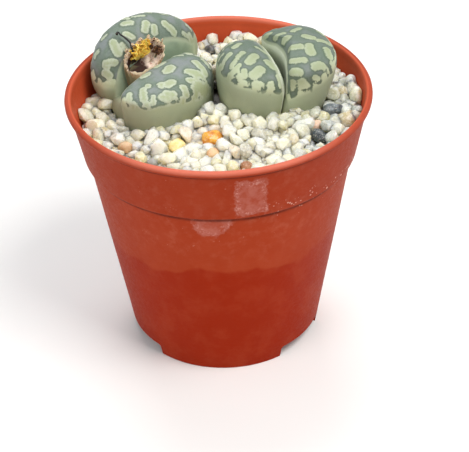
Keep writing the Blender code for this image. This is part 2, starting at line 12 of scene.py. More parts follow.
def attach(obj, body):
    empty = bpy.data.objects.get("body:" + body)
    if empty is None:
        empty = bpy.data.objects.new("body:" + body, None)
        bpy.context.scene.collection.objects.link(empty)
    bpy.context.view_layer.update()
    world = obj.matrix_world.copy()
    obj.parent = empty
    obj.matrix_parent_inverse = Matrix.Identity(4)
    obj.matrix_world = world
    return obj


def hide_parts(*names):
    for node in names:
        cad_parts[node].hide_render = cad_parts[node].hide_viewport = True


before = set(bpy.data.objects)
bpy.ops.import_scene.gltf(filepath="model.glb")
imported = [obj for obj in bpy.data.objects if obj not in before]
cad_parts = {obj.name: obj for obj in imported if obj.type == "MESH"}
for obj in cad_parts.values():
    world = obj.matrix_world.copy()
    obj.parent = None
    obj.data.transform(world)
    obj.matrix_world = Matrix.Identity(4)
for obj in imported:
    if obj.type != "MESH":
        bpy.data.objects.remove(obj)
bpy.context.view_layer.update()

# The potted lithops: two leaf pairs in a round nursery pot dressed with quartz grit. All lengths
# are in millimetres unless a name says otherwise, and MM turns them into metres.
MM = 0.001

# The photograph's camera
PHOTO_WIDTH, PHOTO_HEIGHT = 469, 452
FOCAL_PIXELS = 1801.89
SENSOR_WIDTH = 36.0
CAMERA_PLACE = (0.0, -276.925, 214.848)
CAMERA_YAW, CAMERA_PITCH, CAMERA_ROLL = 0.4416, 35.1357, -1.7534

# The widest gap that counts as a shard's, where a cut shell is cleaned
SHARD_GAP = 0.002

# Pot
FOOT_RADIUS = 17.5
POT_SEGMENTS = 160
DRAIN_RADIUS = 2.0
DRAIN_CIRCLE = 10.5
DRAIN_COUNT = 6
FLOOR_Z = 3.0
NOTCH_BEARINGS = (-35.0, 90.0, 205.0)
NOTCH_DEPTH = 4.0
NOTCH_WIDTH = 12.5
NOTCH_HEIGHT = 2.3
NOTCH_ROUNDING = 0.6
LEDGE_Z = 39.0
POT_OUTLINE = (
    (17.24, 2.6), (16.84, 0.2), (16.95, 0.03), (17.1, 0.0), (17.35, 0.0), (17.5, 0.06), (17.56, 0.25),
    (18.2, 4.1), (19.2, 10.0), (20.4, 17.0), (21.6, 24.0), (22.9, 31.7), (23.9, 37.4),
    (24.02, 38.3), (24.14, 38.52), (24.38, 38.62), (24.62, 38.66), (24.78, 38.78), (24.84, 39.0),
    (25.5, 42.2), (26.2, 45.6), (26.8, 48.4), (26.9, 48.7), (27.02, 48.82), (27.24, 48.88),
    (27.4, 48.98), (27.48, 49.16), (27.5, 49.4), (27.46, 49.66), (27.36, 49.84), (27.18, 49.96),
    (26.95, 50.0), (26.7, 49.97), (26.5, 49.88), (26.36, 49.7), (26.28, 49.3), (26.15, 48.5),
    (25.5, 45.4), (24.8, 42.0), (24.2, 39.2), (24.0, 38.95), (23.55, 38.8), (23.36, 38.5),
    (22.2, 31.7), (20.9, 24.0), (19.7, 17.0), (18.5, 10.0), (17.5, 4.1), (17.38, 3.6), (17.1, 3.4),
)

# Gravel, in the collar's inner wall
COLLAR_RADII = (24.15, 26.2)
COLLAR_FLOOR, COLLAR_DEPTH = 39.1, 9.6
GRIT_CLEARANCE = 0.08
GRAVEL_LEVEL = 45.3
GRAVEL_SLOPE = 0.06
BACK_SLOPE = 0.05
GRIT_COUNT = 1150
GRIT_RADII = (0.6, 1.3)
GRIT_SEED = 21
DROP_RADIUS, DROP_HEIGHTS = 24.0, (43, 51)
SETTLE_STEPS = 280
NEAR_GAP = 3.6
BED_FOOT = 39.35
BED_DROP = 2.1
MOUND_HEIGHT, MOUND_RADIUS = 1.0, 24.0
CREVICE_X = -0.6
GRIT_CEILING = 0.3

# Leaves, close to the solids' own values. The bearing is the cleft's, from +X towards +Y, and the
# leaf lies on the side given. Shift and rise move and tilt its top along the cleft and away from
# it. Ends is how square the inner side's ends are, and hollow how far its middle is pressed in.
# The left pair's third entry is the low web where its two leaves run together at the cleft's end.
Leaf = namedtuple("Leaf", "x y bearing side half_length outer inner shoulder top "
                          "roundness inner_roundness taper outer_taper shift rise ends hollow",
                  defaults=(2.4, 0.0))
LEFT_PAIR = (
    Leaf(-13.4, 13.2, 39.5, 1, 11.4, 6.1, 4.5, 48.5, 57.4,
         2.2, 2.4, 0.16, 0.17, (-0.6, 1.5), (-0.05, 0.0)),
    Leaf(-9.6, 3.0, 46.7, -1, 9.8, 7.15, 3.6, 49.7, 52.9,
         2.4, 3.1, 0.03, -0.01, (0.4, 0.6), (0.06, 0.02)),
    Leaf(-16.4, 1.1, 121.0, 1, 5.2, 1.7, 1.8, 44.8, 47.3,
         2.0, 2.0, 0.0, 0.0, (0.0, 0.0), (0.0, 0.0)),
)
RIGHT_PAIR = (
    Leaf(6.7, 2.9, 107.0, 1, 7.95, 6.85, 3.9, 50.7, 55.9,
         2.7, 2.9, 0.08, 0.08, (0.7, 1.9), (0.03, 0.05)),
    Leaf(13.65, 5.0, 107.75, -1, 8.7, 7.45, 4.5, 53.3, 56.75,
         2.3, 2.9, 0.05, 0.43, (-0.1, 0.2), (0.0, 0.105), 3.9, 2.9),
)
# How far the front end of the right cleft's two sides leans to the other leaf, at each height
SEAM_CLOSING = {
    RIGHT_PAIR[0]: ((45.6, -0.2), (50.3, 0.45), (53.5, 0.0), (56.0, -0.2)),
    RIGHT_PAIR[1]: ((45.6, 1.2), (48.0, 0.8), (50.5, 0.2), (52.5, 0.0)),
}
LEAF_COLUMNS = 150
DOME_ROWS = 72
CLEFT_SQUARENESS = 3.6
OUTER_SQUARENESS = 2.2
LENGTH_SQUARENESS = 2.4
HOLLOW_REACH = 0.9
WEB_REACH = 5.2
NECK_Z, CROWN_Z, CROWN_RADIUS = 43.0, 37.0, 2.2
ROOT_STEPS = ((3.3, 38.9), (2.8, 34.0), (1.4, 29.0), (0.7, 22.0))


def deselect_all():
    if bpy.context.object and bpy.context.object.mode != "OBJECT":
        bpy.ops.object.mode_set(mode="OBJECT")
    bpy.ops.object.select_all(action="DESELECT")


def pick(*shapes):
    """Select these shapes alone, with the first one active."""
    deselect_all()
    for shape in shapes:
        shape.select_set(True)
    bpy.context.view_layer.objects.active = shapes[0]


def named(name):
    shape = bpy.context.object
    shape.name = name
    shape.data.name = name
    return shape


def discard(shape):
    mesh = shape.data
    bpy.data.objects.remove(shape)
    bpy.data.meshes.remove(mesh)


def apply_modifier(shape, kind, **settings):
    pick(shape)
    bpy.ops.object.modifier_add(type=kind)
    modifier = shape.modifiers[-1]
    for key, value in settings.items():
        setattr(modifier, key, value)
    bpy.ops.object.modifier_apply(modifier=modifier.name)


def cut(shape, cutter, operation="DIFFERENCE", solver="EXACT"):
    apply_modifier(shape, "BOOLEAN", object=cutter, operation=operation, solver=solver)
    discard(cutter)


@contextmanager
def editing(shape):
    """Edit mode on one shape, with all of it selected."""
    pick(shape)
    bpy.ops.object.mode_set(mode="EDIT")
    bpy.ops.mesh.select_all(action="SELECT")
    yield
    bpy.ops.object.mode_set(mode="OBJECT")


def close_up():
    """In edit mode: fill every opening and point the faces outwards."""
    bpy.ops.mesh.select_all(action="DESELECT")
    bpy.ops.mesh.select_non_manifold()
    bpy.ops.mesh.fill_holes(sides=0)
    bpy.ops.mesh.select_all(action="SELECT")
    bpy.ops.mesh.normals_make_consistent(inside=False)


def select_faulty(*faults):
    """In edit mode: select only what has one of these faults."""
    kinds = ("wire", "boundary", "multi_face", "non_contiguous", "verts")
    bpy.ops.mesh.select_all(action="DESELECT")
    bpy.ops.mesh.select_non_manifold(extend=False, **{"use_" + kind: kind in faults for kind in kinds})


def clean_shell(shape):
    """Merge corners that lie together, and take out the flaps and shards that a cut leaves."""
    name = shape.name
    with editing(shape):
        bpy.ops.mesh.select_mode(type="EDGE")
        bpy.ops.mesh.separate(type="LOOSE")
        bpy.ops.mesh.select_all(action="SELECT")
        bpy.ops.mesh.remove_doubles(threshold=SHARD_GAP * MM)
        bpy.ops.mesh.quads_convert_to_tris()
        for _ in range(3):
            select_faulty("multi_face")
            bpy.ops.mesh.merge(type="COLLAPSE")
        select_faulty("wire", "boundary")
        bpy.ops.mesh.delete(type="EDGE")
        bpy.ops.mesh.select_mode(type="VERT")
        bpy.ops.mesh.select_all(action="SELECT")
        bpy.ops.mesh.fill_holes(sides=12)
        bpy.ops.mesh.separate(type="LOOSE")
    *shards, shell = sorted(bpy.context.selected_objects, key=lambda part: len(part.data.vertices))
    for shard in shards:
        discard(shard)
    shell.name = shell.data.name = name
    return shell


def place_all(shape):
    pick(shape)
    bpy.ops.object.transform_apply(location=True, rotation=True, scale=True)


def join(shapes):
    pick(*shapes)
    bpy.ops.object.join()
    return shapes[0]


def smooth(shape, angle):
    pick(shape)
    bpy.ops.object.shade_smooth_by_angle(angle=math.radians(angle))


def vertex_spots(shape):
    """The vertex places of a shape as an array in millimetres."""
    spots = np.empty(len(shape.data.vertices) * 3)
    shape.data.vertices.foreach_get("co", spots)
    return spots.reshape(-1, 3) / MM


def move_vertices(shape, spots):
    shape.data.vertices.foreach_set("co", (spots * MM).ravel())
    shape.data.update()


def vertex_normals(shape):
    normals = np.empty(len(shape.data.vertices) * 3)
    shape.data.vertices.foreach_get("normal", normals)
    return normals.reshape(-1, 3)


def keep_values(shape, **values):
    """Store numbers at each vertex for a material to read."""
    for name, numbers in values.items():
        attribute = shape.data.attributes.new(name, "FLOAT", "POINT")
        attribute.data.foreach_set("value", np.asarray(numbers, dtype=np.float32))


def keep_tint(shape, tint):
    attribute = shape.data.attributes.new("stone_tint", "FLOAT_COLOR", "POINT")
    attribute.data.foreach_set("color", list(tint) * len(shape.data.vertices))


def grid_through(name, spots):
    """A grid whose corners lie at the given rows of places."""
    rows, columns = spots.shape[:2]
    bpy.ops.mesh.primitive_grid_add(x_subdivisions=columns - 1, y_subdivisions=rows - 1, size=2.0)
    skin = named(name)
    start = vertex_spots(skin) * MM
    column = np.rint((start[:, 0] + 1) / 2 * (columns - 1)).astype(int)
    row = np.rint((start[:, 1] + 1) / 2 * (rows - 1)).astype(int)
    move_vertices(skin, spots[row, column])
    return skin


def wrapped_grid(name, spots):
    """A skin through rows of places, closed round and at both ends."""
    skin = grid_through(name, spots)
    with editing(skin):
        bpy.ops.mesh.remove_doubles(threshold=0.00001)
        close_up()
    return skin


def ripple(spots, size, seed):
    """Smooth noise between -1 and 1 at each place, with features of the given size."""
    shift = Vector((seed * 17.3, seed * 5.1, seed * 9.7))
    return np.array([noise.noise(Vector(spot) / size + shift) for spot in spots])


def paint(red, green, blue):
    """A colour given in screen values, as the shaders want it."""
    return tuple((c / 255 / 12.92 if c < 11 else ((c / 255 + 0.055) / 1.055) ** 2.4)
                 for c in (red, green, blue)) + (1.0,)


def plug(target, value):
    """Feed a socket from a pattern, or set it to a plain value."""
    if isinstance(value, Pattern):
        target.id_data.links.new(value.socket, target)
    elif value is not None:
        target.default_value = value


def add_node(tree, kind, inputs, output=0, **settings):
    made = tree.nodes.new(kind)
    for key, value in settings.items():
        setattr(made, key, value)
    for socket, value in inputs.items() if isinstance(inputs, dict) else enumerate(inputs):
        plug(made.inputs[socket], value)
    return Pattern(made.outputs[output])


class Pattern:
    """A value or a colour in a finish, that sums, products and steps are made from."""

    def __init__(self, socket):
        self.socket = socket

    def sum(self, operation, *others):
        return add_node(self.socket.id_data, "ShaderNodeMath", (self, *others), operation=operation)

    def __add__(self, other):
        return self.sum("ADD", other)

    def __sub__(self, other):
        return self.sum("SUBTRACT", other)

    def __mul__(self, other):
        return self.sum("MULTIPLY", other)

    def __truediv__(self, other):
        return self.sum("DIVIDE", other)

    def __abs__(self):
        return self.sum("ABSOLUTE")

    def at_least(self, other):
        return self.sum("MAXIMUM", other)

    def step(self, start, end, low=0.0, high=1.0):
        """Low up to start, high from end on, and a smooth step between."""
        return add_node(self.socket.id_data, "ShaderNodeMapRange",
                        {"Value": self, "From Min": start, "From Max": end, "To Min": low, "To Max": high},
                        "Result", interpolation_type="SMOOTHSTEP")


class Finish:
    """A procedural finish built up node by node, with its coordinates in millimetres."""

    def __init__(self, name, roughness, **sockets):
        self.material = bpy.data.materials.new(name)
        self.material.use_nodes = True
        self.tree = self.material.node_tree
        self.shader = self.tree.nodes["Principled BSDF"]
        for socket, value in {"Roughness": roughness, **sockets}.items():
            self.shader.inputs[socket.replace("_", " ")].default_value = value
        place = Pattern(self.tree.nodes.new("ShaderNodeTexCoord").outputs["Object"])
        self.place = self.stretched((1 / MM,) * 3, place)
        self.relief = None

    def stretched(self, factors, place=None):
        return add_node(self.tree, "ShaderNodeVectorMath", (place or self.place, factors),
                        operation="MULTIPLY")

    def noise(self, scale, detail=3.0, roughness=0.5, place=None, distortion=0.0):
        return add_node(self.tree, "ShaderNodeTexNoise", {"Vector": place or self.place, "Scale": scale,
                        "Detail": detail, "Roughness": roughness, "Distortion": distortion}, "Fac")

    def cells(self, scale):
        return add_node(self.tree, "ShaderNodeTexVoronoi", {"Vector": self.place, "Scale": scale}, "Distance")

    def stored(self, name, output="Fac"):
        return add_node(self.tree, "ShaderNodeAttribute", {}, output, attribute_name=name)

    def axis(self, letter):
        return add_node(self.tree, "ShaderNodeSeparateXYZ", (self.place,), letter)

    def reach(self, across, along):
        """Length of a line with these two reaches, at right angles to each other."""
        line = add_node(self.tree, "ShaderNodeCombineXYZ", (across, along, 0.0))
        return add_node(self.tree, "ShaderNodeVectorMath", (line,), 1, operation="LENGTH")

    def mix(self, share, first, second):
        made = self.tree.nodes.new("ShaderNodeMix")
        made.data_type = "RGBA"
        for name, value in (("Factor_Float", share), ("A_Color", first), ("B_Color", second)):
            plug(next(entry for entry in made.inputs if entry.identifier == name), value)
        return Pattern(next(entry for entry in made.outputs if entry.identifier == "Result_Color"))

    def bump(self, height, distance):
        """Add fine relief, in millimetres, on top of what is there."""
        self.relief = add_node(self.tree, "ShaderNodeBump", {"Height": height, "Distance": distance * MM,
                               "Strength": 1.0, "Normal": self.relief}, "Normal")

    def finish(self, colour, roughness=None):
        for socket, value in (("Base Color", colour), ("Roughness", roughness), ("Normal", self.relief)):
            plug(self.shader.inputs[socket], value)
        return self.material


def dress(shape, material, slot, *nodes):
    """Give a piece its finish and its place in the frame."""
    shape.data.materials.clear()
    shape.data.materials.append(material)
    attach(shape, "root")
    if nodes:
        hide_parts(*nodes)


# Camera and light

def camera_axes():
    """The camera's right, up and forward directions."""
    yaw, pitch, roll = (math.radians(turn) for turn in (CAMERA_YAW, CAMERA_PITCH, CAMERA_ROLL))
    forward = Vector((math.sin(yaw) * math.cos(pitch), math.cos(yaw) * math.cos(pitch), -math.sin(pitch)))
    level = forward.cross(Vector((0, 0, 1))).normalized()
    upright = level.cross(forward)
    right = level * math.cos(roll) + upright * math.sin(roll)
    up = upright * math.cos(roll) - level * math.sin(roll)
    return right, up, forward


def sight_line(x, y):
    """Where the camera stands and the direction in which it sees a pixel of the photograph."""
    right, up, forward = camera_axes()
    across = (x - PHOTO_WIDTH / 2) / FOCAL_PIXELS
    down = (y - PHOTO_HEIGHT / 2) / FOCAL_PIXELS
    return Vector(CAMERA_PLACE), (forward + right * across - up * down).normalized()


def set_camera():
    right, up, forward = camera_axes()
    lens = bpy.data.cameras.new("camera")
    lens.sensor_width = SENSOR_WIDTH
    lens.sensor_fit = "HORIZONTAL"
    lens.lens = FOCAL_PIXELS * SENSOR_WIDTH / PHOTO_WIDTH
    lens.clip_start = 0.01
    camera = bpy.data.objects.new("camera", lens)
    bpy.context.scene.collection.objects.link(camera)
    turn = Matrix((right, up, -forward)).transposed().to_4x4()
    camera.matrix_world = Matrix.Translation(Vector(CAMERA_PLACE) * MM) @ turn
    bpy.context.scene.camera = camera


def add_light(name, place, size, power, colour):
    """A soft square light, in metres, that points at the pot."""
    lamp = bpy.data.lights.new(name, "AREA")
    lamp.size = size
    lamp.energy = power
    lamp.color = colour
    light = bpy.data.objects.new(name, lamp)
    bpy.context.scene.collection.objects.link(light)
    light.location = place
    light.rotation_euler = (Vector((0, 0, 0.04)) - Vector(place)).to_track_quat("-Z", "Y").to_euler()


def set_studio():
    bpy.ops.mesh.primitive_plane_add(size=3.0)
    floor = named("floor")
    pale = Finish("pale_floor", 0.7)
    colour = pale.mix(pale.noise(0.02, 4.0), paint(240, 240, 238), paint(247, 246, 244))
    floor.data.materials.append(pale.finish(colour))
    world = bpy.data.worlds.new("studio")
    world.use_nodes = True
    sky = world.node_tree.nodes["Background"].inputs
    sky["Color"].default_value = (0.93, 0.96, 1.0, 1.0)
    sky["Strength"].default_value = 0.42
    bpy.context.scene.world = world
    add_light("key", (0.30, -0.22, 0.62), 0.35, 3.7, (1.0, 0.98, 0.95))
    add_light("fill", (-0.55, -0.45, 0.45), 0.5, 1.9, (0.97, 0.99, 1.0))
    add_light("top", (-0.05, 0.35, 0.7), 0.4, 2.6, (1.0, 1.0, 1.0))
    bpy.context.scene.view_settings.view_transform = "Standard"


# Pot

def make_pot():
    radius, height = POT_OUTLINE[0]
    bpy.ops.mesh.primitive_circle_add(vertices=POT_SEGMENTS, radius=radius * MM,
                                      location=(0, 0, height * MM))
    pot = named("nursery_pot")
    place_all(pot)
    with editing(pot):
        for (near_radius, near_z), (far_radius, far_z) in zip(POT_OUTLINE, POT_OUTLINE[1:]):
            scale = far_radius / near_radius
            rise = (far_z - near_z) * MM
            bpy.ops.mesh.extrude_edges_move(TRANSFORM_OT_translate={"value": (0, 0, rise)})
            bpy.ops.transform.resize(value=(scale, scale, 1.0), center_override=(0, 0, 0))
        close_up()
    drains = [(DRAIN_CIRCLE, math.tau * index / DRAIN_COUNT) for index in range(DRAIN_COUNT)]
    for reach, turn in drains + [(0.0, 0.0)]:
        bpy.ops.mesh.primitive_cylinder_add(
            vertices=32, radius=DRAIN_RADIUS * MM, depth=FLOOR_Z * MM,
            location=(reach * math.cos(turn) * MM, reach * math.sin(turn) * MM, FLOOR_Z * MM))
        cut(pot, named("drain"))
    for turn in map(math.radians, NOTCH_BEARINGS):
        bpy.ops.mesh.primitive_cube_add(
            size=MM, scale=(NOTCH_DEPTH, NOTCH_WIDTH, 2 * NOTCH_HEIGHT), rotation=(0, 0, turn),
            location=(FOOT_RADIUS * math.cos(turn) * MM, FOOT_RADIUS * math.sin(turn) * MM, 0))
        notch = named("air_gap")
        place_all(notch)
        apply_modifier(notch, "BEVEL", width=NOTCH_ROUNDING * MM, segments=4)
        cut(pot, notch)
    smooth(pot, 40)
    dress(pot, plastic_finish(), "terracotta_plastic", "pot")


def chalk_mark(plastic, x, z, half_width, half_height, ragged, rounded):
    """A chalky stain on the pot's front: faint inside, with flakes along its ragged edge."""
    across = abs(plastic.axis("X") - x) * (1 / half_width)
    upward = abs(plastic.axis("Z") - z) * (1 / half_height)
    reach = plastic.reach(across, upward) if rounded else across.sum("SMOOTH_MAX", upward, 0.2)
    reach += (plastic.noise(1.1, 5.0, 0.65) - 0.5) * ragged
    flakes = reach.step(0.6, 0.94) * plastic.noise(2.2, 5.0, 0.7).step(0.5, 0.62, 0.0, 0.5)
    haze = plastic.noise(0.7, 4.0, 0.6).step(0.3, 0.65, 0.07, 0.26)
    return reach.step(1.06, 0.94) * (flakes + haze) * plastic.axis("Y").step(0.0, -4.0)


def plastic_finish():
    """Weathered terracotta-coloured plastic: darker and deeper below a wavy line, with a lime bloom above."""
    plastic = Finish("weathered_terracotta_plastic", 0.42, Specular_IOR_Level=0.06)
    height = plastic.axis("Z")
    sideways = abs(plastic.axis("X"))
    lower_darkening = (height + plastic.noise(0.10, 3.0) * 9.0).step(29.8, 28.6)
    colour = plastic.mix(lower_darkening, paint(162, 56, 24), paint(151, 36, 2))
    blotch = plastic.noise(0.22, 5.0, 0.6).step(0.42, 0.66)
    colour = plastic.mix(blotch * 0.22, colour, paint(176, 74, 44))
    bloom = plastic.noise(0.5, 6.0, 0.68).step(0.46, 0.72) * 0.22
    above = height.step(24.0, 33.0)
    colour = plastic.mix(bloom * above, colour, paint(196, 116, 92))
    # Painted shade: the pot darker towards its left and right flanks
    colour = plastic.mix(sideways.step(9.0, 22.0, 0.0, 0.35), colour, paint(142, 42, 10))
    colour = plastic.mix(height.step(38.6, 39.4, 0.0, 0.3), colour, paint(140, 42, 16))
    label_mark = chalk_mark(plastic, 4.9, 43.3, 2.8, 4.1, 0.75, False)
    half_moon = chalk_mark(plastic, -2.0, 38.4, 3.6, 4.2, 0.8, True) * height.step(38.7, 38.4)
    chalk = label_mark.at_least(half_moon)
    colour = plastic.mix(chalk, colour, paint(212, 152, 140))
    # Lime specks, crusted together at the right of the ledge
    ledge = abs(height - LEDGE_Z)
    crusted = plastic.axis("X").step(6.0, 11.0) * ledge.step(3.4, 0.8)
    speck_size = plastic.noise(0.4, 3.0) + crusted * 0.28
    specks = (plastic.cells(1.3) - (speck_size - 0.58) * 0.9).step(0.10, 0.02)
    specks *= crusted * 0.5 + 0.2
    colour = plastic.mix(specks * above, colour, paint(230, 180, 160))
    # Painted shadow, with some dirt, under the collar's overhang and under the lip
    overhang_shadow_and_dirt = (height.step(37.5, 38.0) * height.step(38.95, 38.7)).at_least(
        height.step(48.1, 48.6) * height.step(48.95, 48.8))
    overhang_shadow_and_dirt *= plastic.noise(0.5, 4.0, 0.6).step(0.25, 0.6, 0.45, 0.8)
    colour = plastic.mix(overhang_shadow_and_dirt, colour, paint(84, 24, 10))
    # Painted light on the collar's inner wall, and a painted highlight along the top of the lip, fainter at
    # the sides
    radius = plastic.reach(plastic.axis("X"), plastic.axis("Y"))
    inside = (radius - height * 0.2135).step(16.2, 16.0) * height.step(38.9, 39.4)
    colour = plastic.mix(inside * 0.8, colour, paint(196, 84, 52))
    lip_highlight = height.step(49.05, 49.9) * sideways.step(10.0, 24.0, 0.75, 0.2)
    colour = plastic.mix(lip_highlight, colour, paint(218, 122, 100))
    dusty = chalk * 0.35 + plastic.noise(1.6, 5.0, 0.62).step(0.3, 0.7, 0.42, 0.58)
    plastic.bump(plastic.noise(1.0, 4.0, 0.6, plastic.stretched((0.5, 0.5, 5.0))), 0.03)
    plastic.bump(plastic.noise(7.0, 3.0), 0.012)
    plastic.bump(chalk, 0.05)
    return plastic.finish(colour, dusty)


# Leaves

def even_angles(across, rise, count, first, last, power_across, power_rise):
    """Angles that divide a rounded block's outline into steps of one length."""
    angles = np.linspace(first, last, 4000)
    x = across * signed_power(np.cos(angles), power_across)
    y = rise * signed_power(np.sin(angles), power_rise)
    lengths = np.concatenate(([0.0], np.cumsum(np.hypot(np.diff(x), np.diff(y)))))
    return np.interp(np.linspace(0, lengths[-1], count), lengths, angles)


def signed_power(value, exponent):
    return np.sign(value) * np.abs(value) ** exponent


def leaf_directions(leaf):
    """Directions along the cleft and away from it, in plan."""
    angle = math.radians(leaf.bearing)
    along = np.array((math.cos(angle), math.sin(angle)))
    away = leaf.side * np.array((-math.sin(angle), math.cos(angle)))
    return along, away


def leaf_places(leaf, spots):
    """How far places lie along the cleft and away from it, in plan."""
    along, away = leaf_directions(leaf)
    offset = spots[:, :2] - (leaf.x, leaf.y)
    return offset @ along, offset @ away


def leaf_levels(leaf):
    """Each level's height, its scales along, outwards and towards the cleft, its share of the
    dome and how far it is drawn in to the root's crown."""
    ground = GRAVEL_LEVEL + GRAVEL_SLOPE * leaf.x - 1.0
    levels = []
    for sink in (1.0, 0.66, 0.33):
        depth = NECK_Z + (CROWN_Z - 0.2 * leaf.side - NECK_Z) * sink
        levels.append((depth, 1 - leaf.taper, 1 - leaf.outer_taper, 0.98, 0.0, sink))
    for drop in np.linspace(1.0, 0.08, 12):
        z = leaf.shoulder + (ground - leaf.shoulder) * drop
        levels.append((z, 1 - leaf.taper * drop ** 2, 1 - leaf.outer_taper * drop ** 1.6,
                       1 - 0.02 * drop, 0.0, 0.0))
    power = 2 / leaf.roundness
    leans = even_angles(leaf.outer, leaf.top - leaf.shoulder, DOME_ROWS, 0.0, math.pi / 2, power, power)
    for lean in leans:
        z = leaf.shoulder + (leaf.top - leaf.shoulder) * math.sin(lean) ** power
        closing = max(math.cos(lean), 0.0)
        levels.append((z, closing ** power, closing ** power,
                       closing ** (2 / leaf.inner_roundness), math.sin(lean), 0.0))
    return levels


def leaf_rings(leaf, crown):
    along, away = leaf_directions(leaf)
    outer_half = even_angles(leaf.half_length, leaf.outer, LEAF_COLUMNS // 2, 0.0, math.pi,
                             2 / LENGTH_SQUARENESS, 2 / OUTER_SQUARENESS)
    inner_half = even_angles(leaf.half_length, leaf.inner, LEAF_COLUMNS // 2, math.pi, math.tau,
                             2 / leaf.ends, 2 / CLEFT_SQUARENESS)
    angles = np.concatenate((outer_half, inner_half[1:]))
    cosine, sine = np.cos(angles), np.sin(angles)
    outside = sine > 0
    rings = []
    for z, length_scale, outer_scale, inner_scale, share, sink in leaf_levels(leaf):
        middle = np.array((leaf.x, leaf.y)) * (1 - sink) + np.array(crown) * sink
        half_length = (leaf.half_length + (CROWN_RADIUS - leaf.half_length) * sink) * length_scale
        outer = (leaf.outer + (CROWN_RADIUS - leaf.outer) * sink) * outer_scale
        inner = (leaf.inner + (CROWN_RADIUS - leaf.inner) * sink) * inner_scale
        shift_share = 1 - outer_scale if share else 0.0
        hollow = leaf.hollow * (0.75 + 0.25 * share) * inner_scale * (1 - sink)
        u_share = np.where(outside, signed_power(cosine, 2 / LENGTH_SQUARENESS),
                           signed_power(cosine, 2 / leaf.ends))
        pressed = hollow * np.maximum(0.0, 1 - (u_share / HOLLOW_REACH) ** 2) ** 1.4
        u = half_length * u_share + shift_share * leaf.shift[0]
        w = np.where(outside, outer * signed_power(sine, 2 / OUTER_SQUARENESS),
                     inner * signed_power(sine, 2 / CLEFT_SQUARENESS) + pressed)
        w = w + shift_share * leaf.shift[1]
        if leaf in SEAM_CLOSING:
            levels, shifts = zip(*SEAM_CLOSING[leaf])
            front = np.clip((-u_share - 0.2) / 0.5, 0, 1) * np.clip((1.5 - w) / 3, 0, 1)
            w = w - front * np.interp(z, levels, shifts)
        lift = share * (leaf.rise[0] * u + leaf.rise[1] * w)
        plan = middle + np.outer(u, along) + np.outer(w, away)
        rings.append(np.column_stack((plan, z + lift)))
    return np.array(rings)


def grown_pair(name, pair):
    """Two leaves and their taproot, grown together in one skin."""
    crown = ((pair[0].x + pair[1].x) / 2, (pair[0].y + pair[1].y) / 2)
    leaves = []
    for index, leaf in enumerate(pair):
        skin = wrapped_grid(name, leaf_rings(leaf, crown))
        spots = vertex_spots(skin)
        swell = 0.10 * ripple(spots, 5.0, index + 3) + 0.04 * ripple(spots, 1.8, index + 7) - 0.12
        move_vertices(skin, spots + vertex_normals(skin) * swell[:, None])
        leaves.append(skin)
    turns = np.linspace(0, math.tau, 33)
    root = wrapped_grid(name + "_root", np.array(
        [[(crown[0] + radius * math.cos(turn), crown[1] + radius * math.sin(turn), z) for turn in turns]
         for radius, z in ROOT_STEPS]))
    for other in leaves[1:] + [root]:
        cut(leaves[0], other, "UNION", "MANIFOLD")
    return leaves[0]


# Islands of the leaf windows, as the photograph shows them: two pixels and a radius each.
LEFT_FRONT_ISLANDS = (
    (167.5, 71, 170, 68, 1.0), (161, 84.5, 161, 86.5, 0.65), (168, 84.5, 171.5, 82.5, 0.85),
    (167, 94, 173, 95, 0.8), (162, 97, 168, 97.5, 0.75), (171, 98, 175, 99, 0.6),
    (153.5, 97, 153.5, 103, 0.5), (143, 90, 144, 99, 0.75), (144, 99, 146, 106, 0.45),
    (148, 86, 148, 87, 0.55), (129, 95, 129.5, 101, 0.6), (129.5, 101, 130.5, 106, 0.3),
    (124, 104, 127, 107, 0.4), (135.5, 105, 137, 108, 0.5), (143.5, 76.5, 147.5, 74.5, 0.75),
    (156, 67, 163, 63, 0.55), (173, 57, 182, 55.3, 0.35), (195.5, 62, 205, 73.5, 0.75),
    (197, 56, 202, 58, 0.4), (203, 60, 209.5, 68, 0.45), (188, 71.5, 197, 73, 0.8),
    (189, 80, 194, 80, 0.6), (183.5, 88, 186, 95, 0.75), (196, 76, 203, 84, 1.3),
    (199, 86, 206, 92, 1.4), (194, 90, 196, 96, 0.9),
)
LEFT_FRONT_STROKES = (
    (186, 84, 192, 94, 0.24), (157, 99, 159, 103, 0.2), (160, 103, 168, 104, 0.22),
    (172, 102, 174, 102, 0.33), (143, 108, 145, 109, 0.22), (189, 76.3, 192, 76.8, 0.2),
    (200, 79, 204, 81, 0.22),
)
LEFT_BACK_ISLANDS = (
    (124, 24, 130, 22.5, 0.8), (146, 23, 145, 30, 0.75), (154, 27, 154.5, 32, 0.7),
    (165, 24, 174, 32.5, 0.75), (183, 33, 188, 37, 0.4), (186, 25, 191, 30, 0.3),
    (126, 34, 132, 37, 0.65), (113, 43, 118, 53, 0.85), (105, 63, 115, 62.5, 0.65),
    (105, 66, 107, 67, 0.6), (105.5, 73, 109, 76, 0.8), (95, 56, 98, 52, 0.5),
    (93.5, 72, 94.5, 77, 0.4), (104, 85, 108, 84, 0.7), (132, 17, 144, 15.5, 0.3),
    (159, 13.7, 169, 15.5, 0.25), (102, 39, 107, 34.5, 0.3), (122, 44, 128, 53, 0.4),
)
LEFT_BACK_STROKES = ()
RIGHT_FRONT_ISLANDS = (
    (249.5, 62, 254.5, 56, 0.85), (254, 75, 260, 70, 0.95), (268, 62, 273.5, 67.5, 0.8),
    (278, 77, 280.5, 86, 0.5), (271, 85, 270, 91, 0.65), (256, 84, 260, 86, 0.8),
    (244, 71, 244.5, 76, 0.6), (243, 52.5, 232, 67, 0.5), (230, 54, 222, 67, 0.55),
    (223.5, 54, 219, 60, 0.35), (234, 47.5, 239.5, 44, 0.5), (232, 43.5, 223, 50, 0.25),
    (256, 47, 269, 56, 0.3), (243, 83, 247.5, 83.5, 0.5), (233, 72, 239, 66, 0.5),
    (236, 72, 230, 76, 0.7), (239, 76, 240, 79, 0.6),
)
